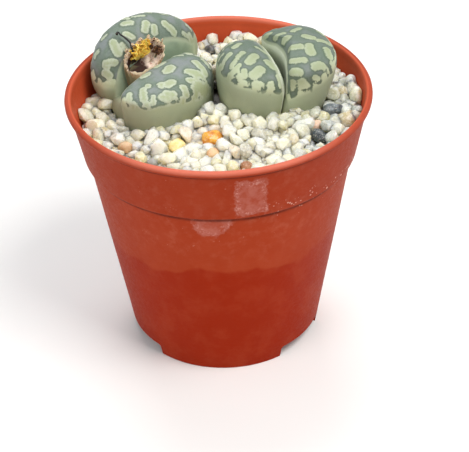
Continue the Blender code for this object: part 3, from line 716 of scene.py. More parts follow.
RIGHT_FRONT_STROKES = (
    (235, 76, 237, 74, 0.22), (248.5, 80, 249, 88, 0.18), (257.5, 91, 259, 92, 0.2),
    (262, 88, 263, 93, 0.25), (270, 95, 270.5, 97, 0.22), (275, 92, 279, 92.5, 0.35),
)
RIGHT_BACK_ISLANDS = (
    (290, 49, 300, 46.5, 0.8), (309, 46, 311, 53, 0.85), (292, 61.5, 304, 60, 0.65),
    (293, 72, 299, 72.5, 0.75), (293, 82, 293, 88, 0.6), (302, 83, 305, 86, 0.9),
    (315, 66.5, 319, 65, 0.8), (323, 66, 328, 76, 0.6), (314.5, 77, 318, 79, 0.5),
    (305, 36, 313, 38, 0.65), (319, 40.5, 330, 45, 0.6), (327, 50, 330, 57, 0.75),
    (284, 42, 288, 37, 0.65), (275, 39, 283, 33.5, 0.5), (264, 38.5, 270, 33.5, 0.45),
    (293, 31, 299, 28.5, 0.55), (334, 50, 335, 62, 0.3), (331, 62, 333, 68, 0.4),
)
RIGHT_BACK_STROKES = (
    (295, 93, 297, 88, 0.35), (302, 91, 305, 90, 0.42), (311.5, 82, 311.7, 92, 0.22),
    (326, 70, 328, 76, 0.18),
)
PAIRS = {
    "leaf_pair_left": (LEFT_PAIR, (LEFT_BACK_ISLANDS, LEFT_FRONT_ISLANDS),
                       (LEFT_BACK_STROKES, LEFT_FRONT_STROKES)),
    "leaf_pair_right": (RIGHT_PAIR, (RIGHT_FRONT_ISLANDS, RIGHT_BACK_ISLANDS),
                        (RIGHT_FRONT_STROKES, RIGHT_BACK_STROKES)),
}
# Height of each leaf's window edge, over the pot's X and Y
WINDOW_EDGE = {
    "leaf_pair_left": (
        lambda x, y: np.minimum(48.3 + 0.25 * (y - 5), 51.5),
        lambda x, y: 50.0 + np.where(x < -8, 0.09 * (x + 12), 0.36 - 0.45 * (x + 8))),
    "leaf_pair_right": (
        lambda x, y: np.where(x > 3, 53.0 - 0.25 * (x - 3), 53.0),
        lambda x, y: 49.6 + 0.42 * (x - 13)),
}
# Where the photograph shows the upper edge of a cleft's inner wall, in pixels
CLEFT_RIMS = {
    "leaf_pair_left": ((116, 100), (115, 85), (118, 72), (122, 62), (150, 45), (158, 43), (165, 39),
                       (175, 38), (185, 39.5), (192, 43), (198, 50)),
    "leaf_pair_right": ((259.5, 42.3), (268, 42.8), (276, 44.8), (283.5, 52), (287, 61), (288, 73),
                        (287.5, 85), (287, 95), (285, 108)),
}
# The leaf of each pair whose inner wall shows, and how much of its length the wall takes
RIM_LEAF = {"leaf_pair_left": 0, "leaf_pair_right": 1}
WALL_SHARE = 0.84
MARK_SPACING = 2.3
ISLAND_RELIEF = 0.07


def stroke_distance(spots, start, end, radius):
    """Distance of each place from a rounded stroke, negative inside it."""
    line = end - start
    length = float(line @ line)
    share = np.clip((spots - start) @ line / length, 0, 1) if length > 1e-9 else np.zeros(len(spots))
    return np.linalg.norm(spots - start - share[:, None] * line, axis=1) - radius


def sight_hit(tree, x, y):
    origin, direction = sight_line(x, y)
    hit = tree.ray_cast(origin * MM, direction)[0]
    return None if hit is None else np.array(hit) / MM


def seen_strokes(tree, strokes):
    """The photograph's strokes as places on the skin that the camera sees there."""
    found = []
    for x0, y0, x1, y1, radius in strokes:
        start, end = sight_hit(tree, x0, y0), sight_hit(tree, x1, y1)
        if start is not None and end is not None:
            found.append((start, end, radius))
    return found


def leaf_sides(spots, pair):
    """True where a place belongs to the pair's first leaf."""
    first, second = (leaf_places(leaf, spots)[1] + leaf.inner for leaf in pair[:2])
    return first > second


def below_rim(name, leaf, tree, spots, facing):
    """How far each place lies down the cleft's wall from the rim that the photograph shows.
    The wall ends short of the leaf's two ends."""
    rim = [sight_hit(tree, x, y) for x, y in CLEFT_RIMS[name]]
    rim = np.array([spot for spot in rim if spot is not None])
    places = leaf_places(leaf, rim)[0]
    order = np.argsort(places)
    along = leaf_places(leaf, spots)[0]
    height = np.interp(along, places[order], rim[order, 2])
    from_ends = leaf.half_length * WALL_SHARE - np.abs(along)
    return np.minimum(np.minimum(height - spots[:, 2], (facing - 0.4) * 4), from_ends * 0.7)


def scattered(draw, spots, chosen, taken, attempts):
    """Places drawn from the chosen ones that keep their distance from those already taken."""
    for _ in range(attempts if len(chosen) else 0):
        spot = spots[chosen[draw.randrange(len(chosen))]]
        if all(np.linalg.norm(spot - other) > MARK_SPACING for other in taken):
            taken.append(spot)
            yield spot


def mark_leaves(name, skin):
    """Store how far each place is from the islands, below the window and down the cleft's wall."""
    pair, islands, strokes = PAIRS[name]
    spots, normals = vertex_spots(skin), vertex_normals(skin)
    first = leaf_sides(spots, pair)
    tree = BVHTree.FromObject(skin, bpy.context.evaluated_depsgraph_get())
    draw = random.Random(name)
    light, below, wall = np.full(len(spots), 9.0), np.zeros(len(spots)), np.zeros(len(spots))
    for index, leaf in enumerate(pair[:2]):
        mine = first if index == 0 else ~first
        mine_spots = spots[mine]
        facing = -(normals[mine][:, :2] @ leaf_directions(leaf)[1])
        edge = WINDOW_EDGE[name][index](mine_spots[:, 0], mine_spots[:, 1])
        under = edge + 0.45 * ripple(mine_spots, 2.6, 31 + index) - mine_spots[:, 2]
        down_wall = (facing - 0.62) * 3.2
        if index == RIM_LEAF[name]:
            down_wall = below_rim(name, leaf, tree, mine_spots, facing)
        marks = seen_strokes(tree, islands[index])
        # Islands on the sides that the camera doesn't see
        sight = np.array(CAMERA_PLACE) - mine_spots
        sight /= np.linalg.norm(sight, axis=1)[:, None]
        turned_away = np.einsum("ij,ij->i", normals[mine], sight) < 0.12
        free = np.flatnonzero(turned_away & (under < -0.2) & (down_wall < -0.5))
        centres = [(start + end) / 2 for start, end, _ in marks]
        for spot in scattered(draw, mine_spots, free, centres, 900):
            reach = np.array([draw.uniform(-0.8, 0.8) for _ in range(3)])
            marks.append((spot - reach, spot + reach, draw.uniform(0.5, 0.85)))
        # Teeth along the window's edge
        rim = np.flatnonzero((np.abs(under) < 0.25) & (down_wall < -0.6))
        for spot in scattered(draw, mine_spots, rim, [], 500):
            up = np.array((0.0, 0.0, draw.uniform(0.5, 1.3)))
            marks.append((spot - up * 0.3, spot + up, draw.uniform(0.5, 0.8)))
        reach = np.minimum.reduce([stroke_distance(mine_spots, *mark) for mark in marks])
        reach = np.minimum(reach, -under)
        for mark in seen_strokes(tree, strokes[index]):
            reach = np.maximum(reach, -stroke_distance(mine_spots, *mark))
        light[mine], below[mine], wall[mine] = reach, under, down_wall
    keep_values(skin, light_mm=light, below_mm=below, wall_mm=wall)
    raised = ISLAND_RELIEF * np.clip(0.5 - light / 0.24, 0, 1) * np.clip(-below / 0.6, 0, 1)
    move_vertices(skin, spots + normals * raised[:, None])


def soften_web(skin):
    """Let the web run smoothly into the two leaves."""
    web = LEFT_PAIR[2]
    spots = vertex_spots(skin)
    reach = np.hypot(spots[:, 0] - web.x, spots[:, 1] - web.y)
    near = np.clip((WEB_REACH - reach) / 1.5, 0, 1) * np.clip((web.top + 1.5 - spots[:, 2]) / 1.0, 0, 1)
    near *= spots[:, 2] > NECK_Z
    group = skin.vertex_groups.new(name="web")
    for index in np.flatnonzero(near > 0):
        group.add([int(index)], float(near[index]), "REPLACE")
    apply_modifier(skin, "SMOOTH", factor=0.6, iterations=30, vertex_group="web")
    skin.vertex_groups.clear()


def make_leaf_pair(name, material):
    skin = grown_pair("skin_" + name, PAIRS[name][0])
    if name == "leaf_pair_left":
        soften_web(skin)
        rows = [husk_row(share, -0.1) for share in np.linspace(0.0, 1.05, 20)]
        cut(skin, wrapped_grid("cup_seat", np.array(rows)), "DIFFERENCE", "MANIFOLD")
    skin = clean_shell(skin)
    smooth(skin, 50)
    mark_leaves(name, skin)
    dress(skin, material, "leaf_skin", name)


def leaf_finish():
    """Waxy skin: grey-green sides, dark clouded windows and pale raised islands."""
    skin = Finish("waxy_leaf_skin", 0.5, Subsurface_Weight=0.2, Subsurface_Scale=0.001,
                  Subsurface_Radius=(0.9, 1.0, 0.6), Specular_IOR_Level=0.35)
    place, below, wall = skin.axis("X"), skin.stored("below_mm"), skin.stored("wall_mm")
    wobble = (skin.noise(0.9, 2.0) - 0.5) * 0.75 + (skin.noise(3.2, 3.0, 0.6) - 0.5) * 0.4
    light = skin.stored("light_mm") + wobble
    window = skin.mix(skin.noise(0.32, 3.0).step(0.40, 0.62), paint(106, 121, 108), paint(126, 133, 133))
    window = skin.mix(skin.noise(3.6, 4.0, 0.7).step(0.35, 0.75, 0.0, 0.45), window, paint(140, 150, 136))
    # Painted shade: the right pair's windows darker
    window = skin.mix(place.step(-1.0, 3.0, 0.0, 0.4), window, paint(84, 100, 84))
    window = skin.mix(light.step(0.62, 0.04, 0.0, 0.75), window, paint(86, 102, 80))
    island = skin.mix(light.step(-0.65, -0.12), paint(164, 173, 140), paint(183, 190, 169))
    # Painted shade: the right pair's islands darker
    island = skin.mix(place.step(-1.0, 3.0, 0.0, 0.6), island, paint(150, 160, 126))
    island = skin.mix(skin.noise(2.4, 4.0, 0.7).step(0.4, 0.7, 0.0, 0.5), island, paint(150, 162, 122))
    # Painted light: islands paler low on the right pair's sides and at the far left, near the window's edge
    low = place.step(1.0, 4.0).at_least(place.step(-15.0, -17.0)) * below.step(-3.6, -0.8, 0.0, 0.7)
    island = skin.mix(low, island, paint(204, 213, 180))
    top = skin.mix(light.step(0.13, -0.1), window, island)
    side = skin.mix(below.step(0.4, 2.6), paint(161, 172, 144), paint(152, 162, 136))
    side = skin.mix(skin.axis("Z").step(49.0, 45.5, 0.0, 0.6), side, paint(140, 140, 114))
    side = skin.mix(skin.noise(0.35, 4.0).step(0.4, 0.7, 0.0, 0.35), side, paint(160, 168, 138))
    inner = skin.mix(skin.noise(0.5, 3.0).step(0.4, 0.7), paint(156, 172, 146), paint(142, 158, 134))
    # Painted shade: the cleft's wall darker deeper down
    inner = skin.mix(wall.step(0.3, 2.6, 0.0, 0.55), inner, paint(112, 132, 112))
    # Painted light: the wall paler near its rim
    inner = skin.mix(wall.step(0.9, 0.2, 0.0, 0.6), inner, paint(184, 192, 164))
    # Painted light: the right pair's wall, shaded in its narrow gap, made much paler
    inner = skin.mix(place.step(3.0, 6.0, 0.0, 0.9), inner, paint(214, 220, 200))
    colour = skin.mix(below.step(-0.5, 0.9), top, side)
    colour = skin.mix(wall.step(-0.15, 0.35), colour, inner)
    # Painted highlight: a pale line along the cleft's rim
    rim_highlight = abs(wall).step(0.45, 0.1, 0.0, 0.7) * below.step(0.5, -0.5)
    colour = skin.mix(rim_highlight, colour, paint(176, 184, 156))
    dots = skin.cells(2.6).step(0.16, 0.08, 0.0, 0.35)
    colour = skin.mix(dots, colour, paint(104, 120, 96))
    skin.bump(skin.noise(4.5, 4.0, 0.65), 0.03)
    skin.bump(skin.cells(9.0), 0.008)
    return skin.finish(colour, skin.noise(1.2, 3.0).step(0.3, 0.7, 0.42, 0.58))


# Dried flower, in the frame of its cup's mouth

def unit(direction):
    return np.array(direction) / np.linalg.norm(direction)


HUSK_BASE = np.array((-14.1, 6.2, 47.0))
HUSK_MOUTH = np.array((-13.1, 6.6, 53.4))
HUSK_LONG, HUSK_TILT = unit((0.82, 0.49, 0.29)), unit((-0.50, 0.30, 0.81))
HUSK_RISE = unit(np.cross(HUSK_LONG, HUSK_TILT))
MOUTH_HALF, FOOT_HALF = (4.2, 2.7), (1.7, 0.7)
HUSK_COLUMNS = 120
BLADE_ROWS, BLADE_COLUMNS = 10, 7
TUFT_FOOT = -1.9
THREAD_ROUTE = (
    (-15.1, 5.8, 54.8), (-15.3, 6.1, 55.6), (-15.5, 6.8, 56.1), (-16.0, 7.4, 56.4),
    (-16.6, 7.8, 56.8), (-17.3, 8.3, 57.1), (-17.7, 8.7, 57.3), (-17.9, 8.2, 57.2),
)


def mouth_spot(along, across, above):
    return HUSK_MOUTH + HUSK_LONG * along + HUSK_TILT * across + HUSK_RISE * above


def mouth_places(spots):
    """Each place's distances along, across and above the cup's mouth."""
    offset = spots - HUSK_MOUTH
    return offset @ HUSK_LONG, offset @ HUSK_TILT, offset @ HUSK_RISE


def husk_row(share, inset):
    """One outline of the cup from its foot at share 0 to its mouth at share 1."""
    level = np.array((-HUSK_LONG[1], HUSK_LONG[0], 0.0))
    tilt = level + (HUSK_TILT - level) * share ** 0.7
    tilt /= np.linalg.norm(tilt)
    rise = np.cross(HUSK_LONG, tilt)
    halves = [foot + (mouth - foot) * share ** 0.8 - inset for foot, mouth in zip(FOOT_HALF, MOUTH_HALF)]
    row = []
    for column in range(HUSK_COLUMNS + 1):
        angle = math.tau * (column % HUSK_COLUMNS) / HUSK_COLUMNS
        pleat = 1 + 0.035 * math.sin(9 * angle + 2 * share) + 0.02 * math.sin(23 * angle + 5 * share)
        cosine, sine = math.cos(angle), math.sin(angle)
        crumple = noise.noise(Vector((cosine * 2.2, sine * 2.2, share * 3.4))) * 0.28
        edge = noise.noise(Vector((cosine * 5, sine * 5, 4.0))) * 1.1
        edge += noise.noise(Vector((cosine * 14, sine * 14, 9.0))) * 0.5
        ragged = (0.35 * math.sin(3 * angle + 0.6) + edge) * share ** 5 * 0.55
        reach_long = (halves[0] + crumple * share) * cosine * pleat
        reach_tilt = (halves[1] + crumple * share) * sine * pleat
        spot = HUSK_BASE + (HUSK_MOUTH - HUSK_BASE) * share
        row.append(spot + HUSK_LONG * reach_long + tilt * reach_tilt + rise * ragged)
    return row


def make_husk():
    """The papery cup, its margin thick and torn, with small tatters along its upper edge."""
    rows = [husk_row(share, 0.0) for share in np.linspace(0.02, 1.0, 26)]
    rows += [husk_row(1.02, inset) for inset in (0.08, 0.2)]
    rows += [husk_row(share, 0.3) for share in np.linspace(0.98, 0.62, 12)]
    husk = wrapped_grid("papery_cup", np.array(rows))
    draw = random.Random(14)
    tatters = []
    for index in range(20):
        angle = math.radians(14 + index * 7.5 + draw.uniform(-4, 4))
        foot = mouth_spot(3.9 * math.cos(angle), 2.5 * math.sin(angle), -0.3)
        tip = mouth_spot(3.9 * math.cos(angle) + draw.uniform(-0.5, 0.7),
                         2.6 * math.sin(angle) + draw.uniform(0, 0.8), draw.uniform(0.3, 1.2))
        tatters.append(blade("tatter", foot, tip, draw.uniform(0.35, 0.75), 0.09, draw))
    join([husk] + tatters)
    along, across, above = mouth_places(vertex_spots(husk))
    outward = (np.outer(along, HUSK_LONG) / MOUTH_HALF[0] ** 2
               + np.outer(across, HUSK_TILT) / MOUTH_HALF[1] ** 2)
    outward /= np.linalg.norm(outward, axis=1)[:, None]
    keep_values(husk, faces_in=-np.einsum("ij,ij->i", vertex_normals(husk), outward),
                along_mouth=along, across_mouth=across, above_mouth=above)
    smooth(husk, 60)
    dress(husk, husk_finish(), "papery_husk", "flower_husk")


def husk_finish():
    """Fibrous paper, greenish outside, with a pink lining that is dark at its left."""
    papery = Finish("papery_dried_husk", 0.8, Subsurface_Weight=0.1, Subsurface_Scale=0.001)
    along, across, above = (papery.stored(name + "_mouth") for name in ("along", "across", "above"))
    fibre = papery.noise(1.5, 5.0, 0.7, papery.stretched((3.0, 3.0, 0.6)))
    colour = papery.mix(fibre, paint(150, 118, 84), paint(196, 160, 120))
    colour = papery.mix(above.step(-0.1, -0.7), colour, paint(120, 112, 80))
    pink = papery.noise(1.3, 5.0, 0.7).step(0.5, 0.66)
    lining = papery.mix(pink, paint(255, 232, 214), paint(214, 160, 136))
    left = (along + (papery.noise(0.8, 4.0, 0.6) - 0.5) * 2.4).step(0.5, -0.7)
    lining = papery.mix(left * above.step(-0.2, -0.6), lining, paint(58, 34, 25))
    middle = papery.reach(along / MOUTH_HALF[0], across / MOUTH_HALF[1]).step(0.6, 0.5)
    inside = papery.stored("faces_in").step(0.0, 0.3).at_least(middle)
    colour = papery.mix(inside * above.step(0.1, -0.2), colour, lining)
    margin = (above + papery.noise(1.1, 4.0) * 0.9).step(0.15, 0.45)
    colour = papery.mix(margin, colour, paint(234, 210, 178))
    blotches = papery.noise(1.9, 5.0, 0.7).step(0.58, 0.68, 0.0, 0.6)
    colour = papery.mix(blotches, colour, paint(96, 58, 38))
    papery.bump(fibre, 0.12)
    papery.bump(papery.noise(5.0, 4.0, 0.7), 0.06)
    return papery.finish(colour)


def blade(name, foot, tip, width, thickness, draw):
    """One dried petal or shred: a thin crumpled strip that bends and twists to its tip."""
    rise = tip - foot
    length = np.linalg.norm(rise)
    across = unit(np.cross(rise, (draw.uniform(-1, 1), draw.uniform(-1, 0.2), draw.uniform(-0.4, 1))))
    out = np.cross(across, rise / length)
    bend, twist, fold = draw.uniform(-0.35, 0.35), draw.uniform(-1.3, 1.3), draw.uniform(0.4, 1.2)
    shift = draw.uniform(0, 50)
    rows = []
    for share in np.arange(BLADE_ROWS) / (BLADE_ROWS - 1):
        turn = twist * share
        side = across * math.cos(turn) + out * math.sin(turn)
        face = out * math.cos(turn) - across * math.sin(turn)
        half = width / 2 * (0.5 + 1.3 * share * (1.35 - share))
        row = []
        for place in np.arange(BLADE_COLUMNS) / (BLADE_COLUMNS // 2) - 1:
            crease = noise.noise(Vector((share * 4 + shift, place * 2.2, shift))) * 0.42 * width
            cup = fold * 0.22 * width * (place ** 2 - 0.4)
            uneven = 1 + 0.35 * noise.noise(Vector((place * 3 + shift, share * 2, 3.0)))
            row.append(foot + rise * share * uneven + side * half * place
                       + face * (crease + cup + bend * length * math.sin(share * math.pi)))
        rows.append(row)
    strip = grid_through(name, np.array(rows))
    apply_modifier(strip, "SOLIDIFY", thickness=thickness * MM, offset=0.0)
    return strip


def make_tuft(name, count, seed, middle, spread, lift, width, finish, slot, node):
    """A crumpled bunch of blades that stand in the cup."""
    draw = random.Random(seed)
    strips = []
    for _ in range(count):
        along = middle[0] + draw.uniform(-spread[0], spread[0])
        across = middle[1] + draw.uniform(-spread[1], spread[1])
        foot = mouth_spot(middle[0] + (along - middle[0]) * 0.5,
                          middle[1] * 0.5 + (across - middle[1]) * 0.4, TUFT_FOOT)
        tip = mouth_spot(along, across, draw.uniform(*lift))
        strips.append(blade(name, foot, tip, width * draw.uniform(0.7, 1.3), 0.12, draw))
    tuft = join(strips)
    tuft.name = name
    smooth(tuft, 45)
    dress(tuft, finish, slot, node)


def petal_finish():
    petal = Finish("dried_yellow_petal", 0.6, Subsurface_Weight=0.2, Subsurface_Scale=0.001)
    colour = petal.mix(petal.noise(1.6, 5.0, 0.7).step(0.35, 0.65), paint(250, 218, 112), paint(236, 186, 58))
    colour = petal.mix(petal.noise(2.6, 5.0, 0.75).step(0.56, 0.68, 0.0, 0.85), colour, paint(150, 96, 36))
    petal.bump(petal.noise(4.0, 4.0, 0.7), 0.08)
    return petal.finish(colour)


def core_finish():
    core = Finish("shrivelled_brown_core", 0.8)
    colour = core.mix(core.noise(2.0, 5.0, 0.7).step(0.4, 0.62), paint(66, 38, 28), paint(140, 96, 62))
    colour = core.mix(core.noise(3.4, 4.0, 0.7).step(0.56, 0.66, 0.0, 0.8), colour, paint(214, 176, 126))
    core.bump(core.noise(5.0, 4.0, 0.7), 0.1)
    return core.finish(colour)


def make_thread():
    """The stray dried thread, thickest at its foot, with a small knob at its end."""
    bpy.ops.curve.primitive_bezier_curve_add()
    thread = bpy.context.object
    thread.name = "dried_thread"
    route = thread.data
    route.splines.clear()
    route.dimensions = "3D"
    route.bevel_depth = 0.18 * MM
    route.bevel_resolution = 3
    route.use_fill_caps = True
    spline = route.splines.new("BEZIER")
    spline.bezier_points.add(len(THREAD_ROUTE) - 1)
    for index, (bend, spot) in enumerate(zip(spline.bezier_points, THREAD_ROUTE)):
        bend.co = Vector(spot) * MM
        bend.handle_left_type = bend.handle_right_type = "AUTO"
        bend.radius = 1.5 if index == len(THREAD_ROUTE) - 1 else 1.15 - 0.06 * index
    pick(thread)
    bpy.ops.object.convert(target="MESH")
    thread = bpy.context.object
    smooth(thread, 60)
    black = Finish("brittle_black_thread", 0.5)
    colour = black.mix(black.noise(2.0, 3.0).step(0.4, 0.7), paint(13, 11, 10), paint(34, 27, 20))
    black.bump(black.noise(6.0, 3.0), 0.04)
    dress(thread, black.finish(colour), "dried_thread", "flower_thread")


def make_flower():
    make_husk()
    make_tuft("crumpled_petals", 24, 5, (0.0, 1.6), (1.7, 0.9), (0.2, 1.3), 1.3, petal_finish(),
              "dried_petal", "flower_petals")
    make_tuft("crumpled_core", 18, 9, (2.4, 0.5), (0.9, 1.2), (-0.2, 0.8), 0.8, core_finish(),
              "dried_core", "flower_core")
    make_thread()


# Gravel

def grit_level(x, y):
    """Height of the gravel, which rises to the right, to the back and round the leaves' front."""
    mound = MOUND_HEIGHT * (1 - (x ** 2 + y ** 2) / MOUND_RADIUS ** 2) * np.clip((7.0 - y) / 7.0, 0, 1)
    return GRAVEL_LEVEL + GRAVEL_SLOPE * x + BACK_SLOPE * np.clip(y - 4.0, 0, None) + mound


def push_from_leaves(places, radii):
    """Slide stones out of the leaves, in plan."""
    for leaf in LEFT_PAIR + RIGHT_PAIR:
        u, w = leaf_places(leaf, places)
        reach = np.where(w > 0, leaf.outer * (1 - leaf.outer_taper * 0.8), leaf.inner)
        depth = ((np.abs(u) / (leaf.half_length * (1 - leaf.taper * 0.8) + radii)) ** LENGTH_SQUARENESS
                 + (np.abs(w) / (reach + radii)) ** OUTER_SQUARENESS) ** (1 / OUTER_SQUARENESS)
        scale = np.where(depth < 1, 1 / np.maximum(depth, 0.2), 1.0)
        places[:, :2] += (places[:, :2] - (leaf.x, leaf.y)) * (scale - 1)[:, None] * 0.6


def settle_grit(blockers):
    """Drop round stones on the bed and let them settle against all that is fixed."""
    draw = np.random.default_rng(GRIT_SEED)
    radii = GRIT_RADII[0] + (GRIT_RADII[1] - GRIT_RADII[0]) * draw.beta(1.7, 1.9, GRIT_COUNT)
    reach = DROP_RADIUS * np.sqrt(draw.random(GRIT_COUNT))
    turn = draw.random(GRIT_COUNT) * math.tau
    height = draw.uniform(*DROP_HEIGHTS, GRIT_COUNT)
    places = np.column_stack((reach * np.cos(turn), reach * np.sin(turn), height))
    fixed = np.array([spot for spot, _ in blockers])
    fixed_radii = np.array([radius for _, radius in blockers])
    for step in range(SETTLE_STEPS):
        places[:, 2] -= 0.06 if step < 0.75 * SETTLE_STEPS else 0.02
        if step % 10 == 0:
            near = near_pairs(places)
        for _ in range(3):
            push_from_leaves(places, radii)
            push_apart(places, radii, near)
            gap = places[:, None, :] - fixed[None, :, :]
            distance = np.linalg.norm(gap, axis=2)
            overlap = np.clip(radii[:, None] + fixed_radii[None, :] - distance, 0, None)
            places += (gap / distance[:, :, None] * overlap[:, :, None]).sum(axis=1) * 0.8
            spread = np.hypot(places[:, 0], places[:, 1])
            limit = wall_radius(places[:, 2]) - radii
            places[:, :2] *= np.minimum(1, limit / spread)[:, None]
            floor = grit_level(places[:, 0], places[:, 1]) - BED_DROP + radii * 0.6
            places[:, 2] = np.maximum(places[:, 2], floor)
    low = places[:, 2] < grit_level(places[:, 0], places[:, 1]) + GRIT_CEILING
    kept = low & ~in_a_cleft(places) & ~over_a_blocker(places, radii, fixed, fixed_radii)
    return places[kept], radii[kept]


def near_pairs(places):
    """Pairs of stones that may touch during the next few steps."""
    first, second = [], []
    for index in range(len(places) - 1):
        gap = np.abs(places[index + 1:] - places[index]).max(axis=1)
        close = np.flatnonzero(gap < NEAR_GAP) + index + 1
        first.append(np.full(len(close), index))
        second.append(close)
    return np.concatenate(first), np.concatenate(second)


def push_apart(places, radii, pairs):
    first, second = pairs
    gap = places[first] - places[second]
    distance = np.linalg.norm(gap, axis=1) + 1e-6
    overlap = np.clip(radii[first] + radii[second] - distance, 0, None)
    push = gap / distance[:, None] * overlap[:, None] * 0.45
    for axis in range(3):
        places[:, axis] += np.bincount(first, push[:, axis], len(places))
        places[:, axis] -= np.bincount(second, push[:, axis], len(places))


def over_a_blocker(places, radii, fixed, fixed_radii):
    """True for stones that would hide a coloured stone from above or from the front."""
    hiding = np.zeros(len(places), bool)
    for spot, radius in zip(fixed, fixed_radii):
        offset = places - spot
        for view in (np.array((0.0, -0.8, 0.6)), np.array((0.0, 0.0, 1.0))):
            ahead = offset @ view
            aside = np.linalg.norm(offset - ahead[:, None] * view, axis=1)
            hiding |= (ahead > 0.3) & (ahead < 5) & (aside < radius * 0.8 + radii * 0.85)
    return hiding


def in_a_cleft(places):
    """True for stones wedged between two leaves, or in the crevice between the pairs."""
    wedged = np.abs(places[:, 0] - CREVICE_X) < 1.7
    wedged &= (places[:, 1] > 2.6) & (places[:, 1] < 10.5)
    for pair in (LEFT_PAIR, RIGHT_PAIR):
        between = np.ones(len(places), bool)
        for leaf in pair[:2]:
            along, away = leaf_places(leaf, places)
            between &= (np.abs(along) < leaf.half_length * 0.93) & (away < 0)
        wedged |= between
    return wedged


def wall_radius(z):
    """Radius that the gravel may reach inside the collar, which widens from ledge to lip."""
    low, high = COLLAR_RADII
    return low + (high - low) * np.clip((z - COLLAR_FLOOR) / COLLAR_DEPTH, 0, 1) - GRIT_CLEARANCE


def grit_stone(seed):
    """One broken quartz stone, about two across."""
    bpy.ops.mesh.primitive_ico_sphere_add(subdivisions=2, radius=1.0)
    stone = named(f"quartz_{seed}")
    draw = random.Random(seed)
    with editing(stone):
        bpy.ops.transform.vertex_random(offset=0.10, uniform=0.2, normal=0.4, seed=seed)
        for _ in range(7):
            normal = Vector([draw.gauss(0, 1) for _ in range(3)]).normalized()
            bpy.ops.mesh.select_all(action="SELECT")
            bpy.ops.mesh.bisect(plane_co=normal * draw.uniform(0.62, 0.8), plane_no=normal,
                                use_fill=True, clear_outer=True)
        bpy.ops.mesh.select_all(action="SELECT")
        bpy.ops.mesh.remove_doubles(threshold=0.08)
        bpy.ops.mesh.normals_make_consistent(inside=False)
    smooth(stone, 32)
    return stone


# Quartz tints with how often each is drawn, and how much of each channel the cooler right loses
GRIT_TINTS = (
    (paint(249, 240, 204), 32), (paint(252, 247, 224), 22), (paint(242, 233, 194), 16),
    (paint(224, 222, 204), 10), (paint(242, 226, 172), 12), (paint(234, 208, 160), 5),
    (paint(208, 207, 192), 4), (paint(238, 214, 188), 3), (paint(182, 180, 166), 1),
)
COOL_LOSS = (0.16, 0.08, 0.02)


def make_grit(stones):
    """The fine top dressing on its bed."""
    blockers = []
    for stone in stones:
        spots = vertex_spots(stone)
        middle = spots.mean(axis=0)
        blockers.append((middle, np.abs(spots - middle).max(axis=0).mean() * 1.05))
    places, radii = settle_grit(blockers)
    shapes = [grit_stone(seed) for seed in range(8)]
    draw = random.Random(GRIT_SEED)
    tints = [tint for tint, share in GRIT_TINTS for _ in range(share)]
    pieces = []
    for place, radius in zip(places, radii):
        shape = draw.choice(shapes)
        copy = shape.copy()
        copy.data = shape.data.copy()
        bpy.context.scene.collection.objects.link(copy)
        stretch = (draw.uniform(1.0, 1.5), draw.uniform(0.88, 1.2), draw.uniform(0.75, 0.98), 1)
        turn = Matrix.Rotation(draw.uniform(0, math.tau), 4, Vector([draw.gauss(0, 1) for _ in range(3)]))
        copy.data.transform(Matrix.Translation(Vector(place) * MM) @ turn
                            @ Matrix.Scale(radius * 1.38 * MM, 4) @ Matrix.Diagonal(stretch))
        tint = draw.choice(tints)
        # Random tone, and painted shade on the stones near the collar's left and right walls
        shade = draw.uniform(0.93, 1.0) * (1 - 0.16 * min(1.0, max(0.0, abs(place[0] + 1) - 11) / 6))
        cool = min(1.0, max(0.0, place[0] - 9) / 8)
        keep_tint(copy, [min(1.0, part * shade * (1 - cool * loss))
                         for part, loss in zip(tint, COOL_LOSS)] + [1.0])
        pieces.append(copy)
    bed = make_bed()
    keep_tint(bed, paint(226, 218, 190))
    grit = join([bed] + pieces)
    for shape in shapes:
        discard(shape)
    keep_in_collar(grit)
    dress(grit, quartz_finish(), "quartz_grit", "quartz_grit")


def make_bed():
    """The closed bed under the visible stones, hollowed where the leaves stand."""
    bpy.ops.mesh.primitive_circle_add(vertices=96, radius=23.6 * MM, fill_type="NGON",
                                      location=(0, 0, BED_FOOT * MM))
    bed = named("quartz_dressing")
    place_all(bed)
    depth = GRAVEL_LEVEL - BED_DROP + 0.5 - BED_FOOT
    with editing(bed):
        bpy.ops.mesh.extrude_region_move(TRANSFORM_OT_translate={"value": (0, 0, depth * MM)})
        bpy.ops.transform.resize(value=(1.025, 1.025, 1.0), center_override=(0, 0, 0))
        bpy.ops.mesh.select_all(action="SELECT")
        bpy.ops.mesh.normals_make_consistent(inside=False)
    for name in PAIRS:
        hole = merged_copy(name, "hole")
        move_vertices(hole, vertex_spots(hole) + vertex_normals(hole) * 0.15)
        cut(bed, hole, "DIFFERENCE", "MANIFOLD")
    return bed


def keep_in_collar(grit):
    spots = vertex_spots(grit)
    spread = np.hypot(spots[:, 0], spots[:, 1])
    spots[:, :2] *= np.minimum(1, wall_radius(spots[:, 2]) / np.maximum(spread, 0.01))[:, None]
    move_vertices(grit, spots)


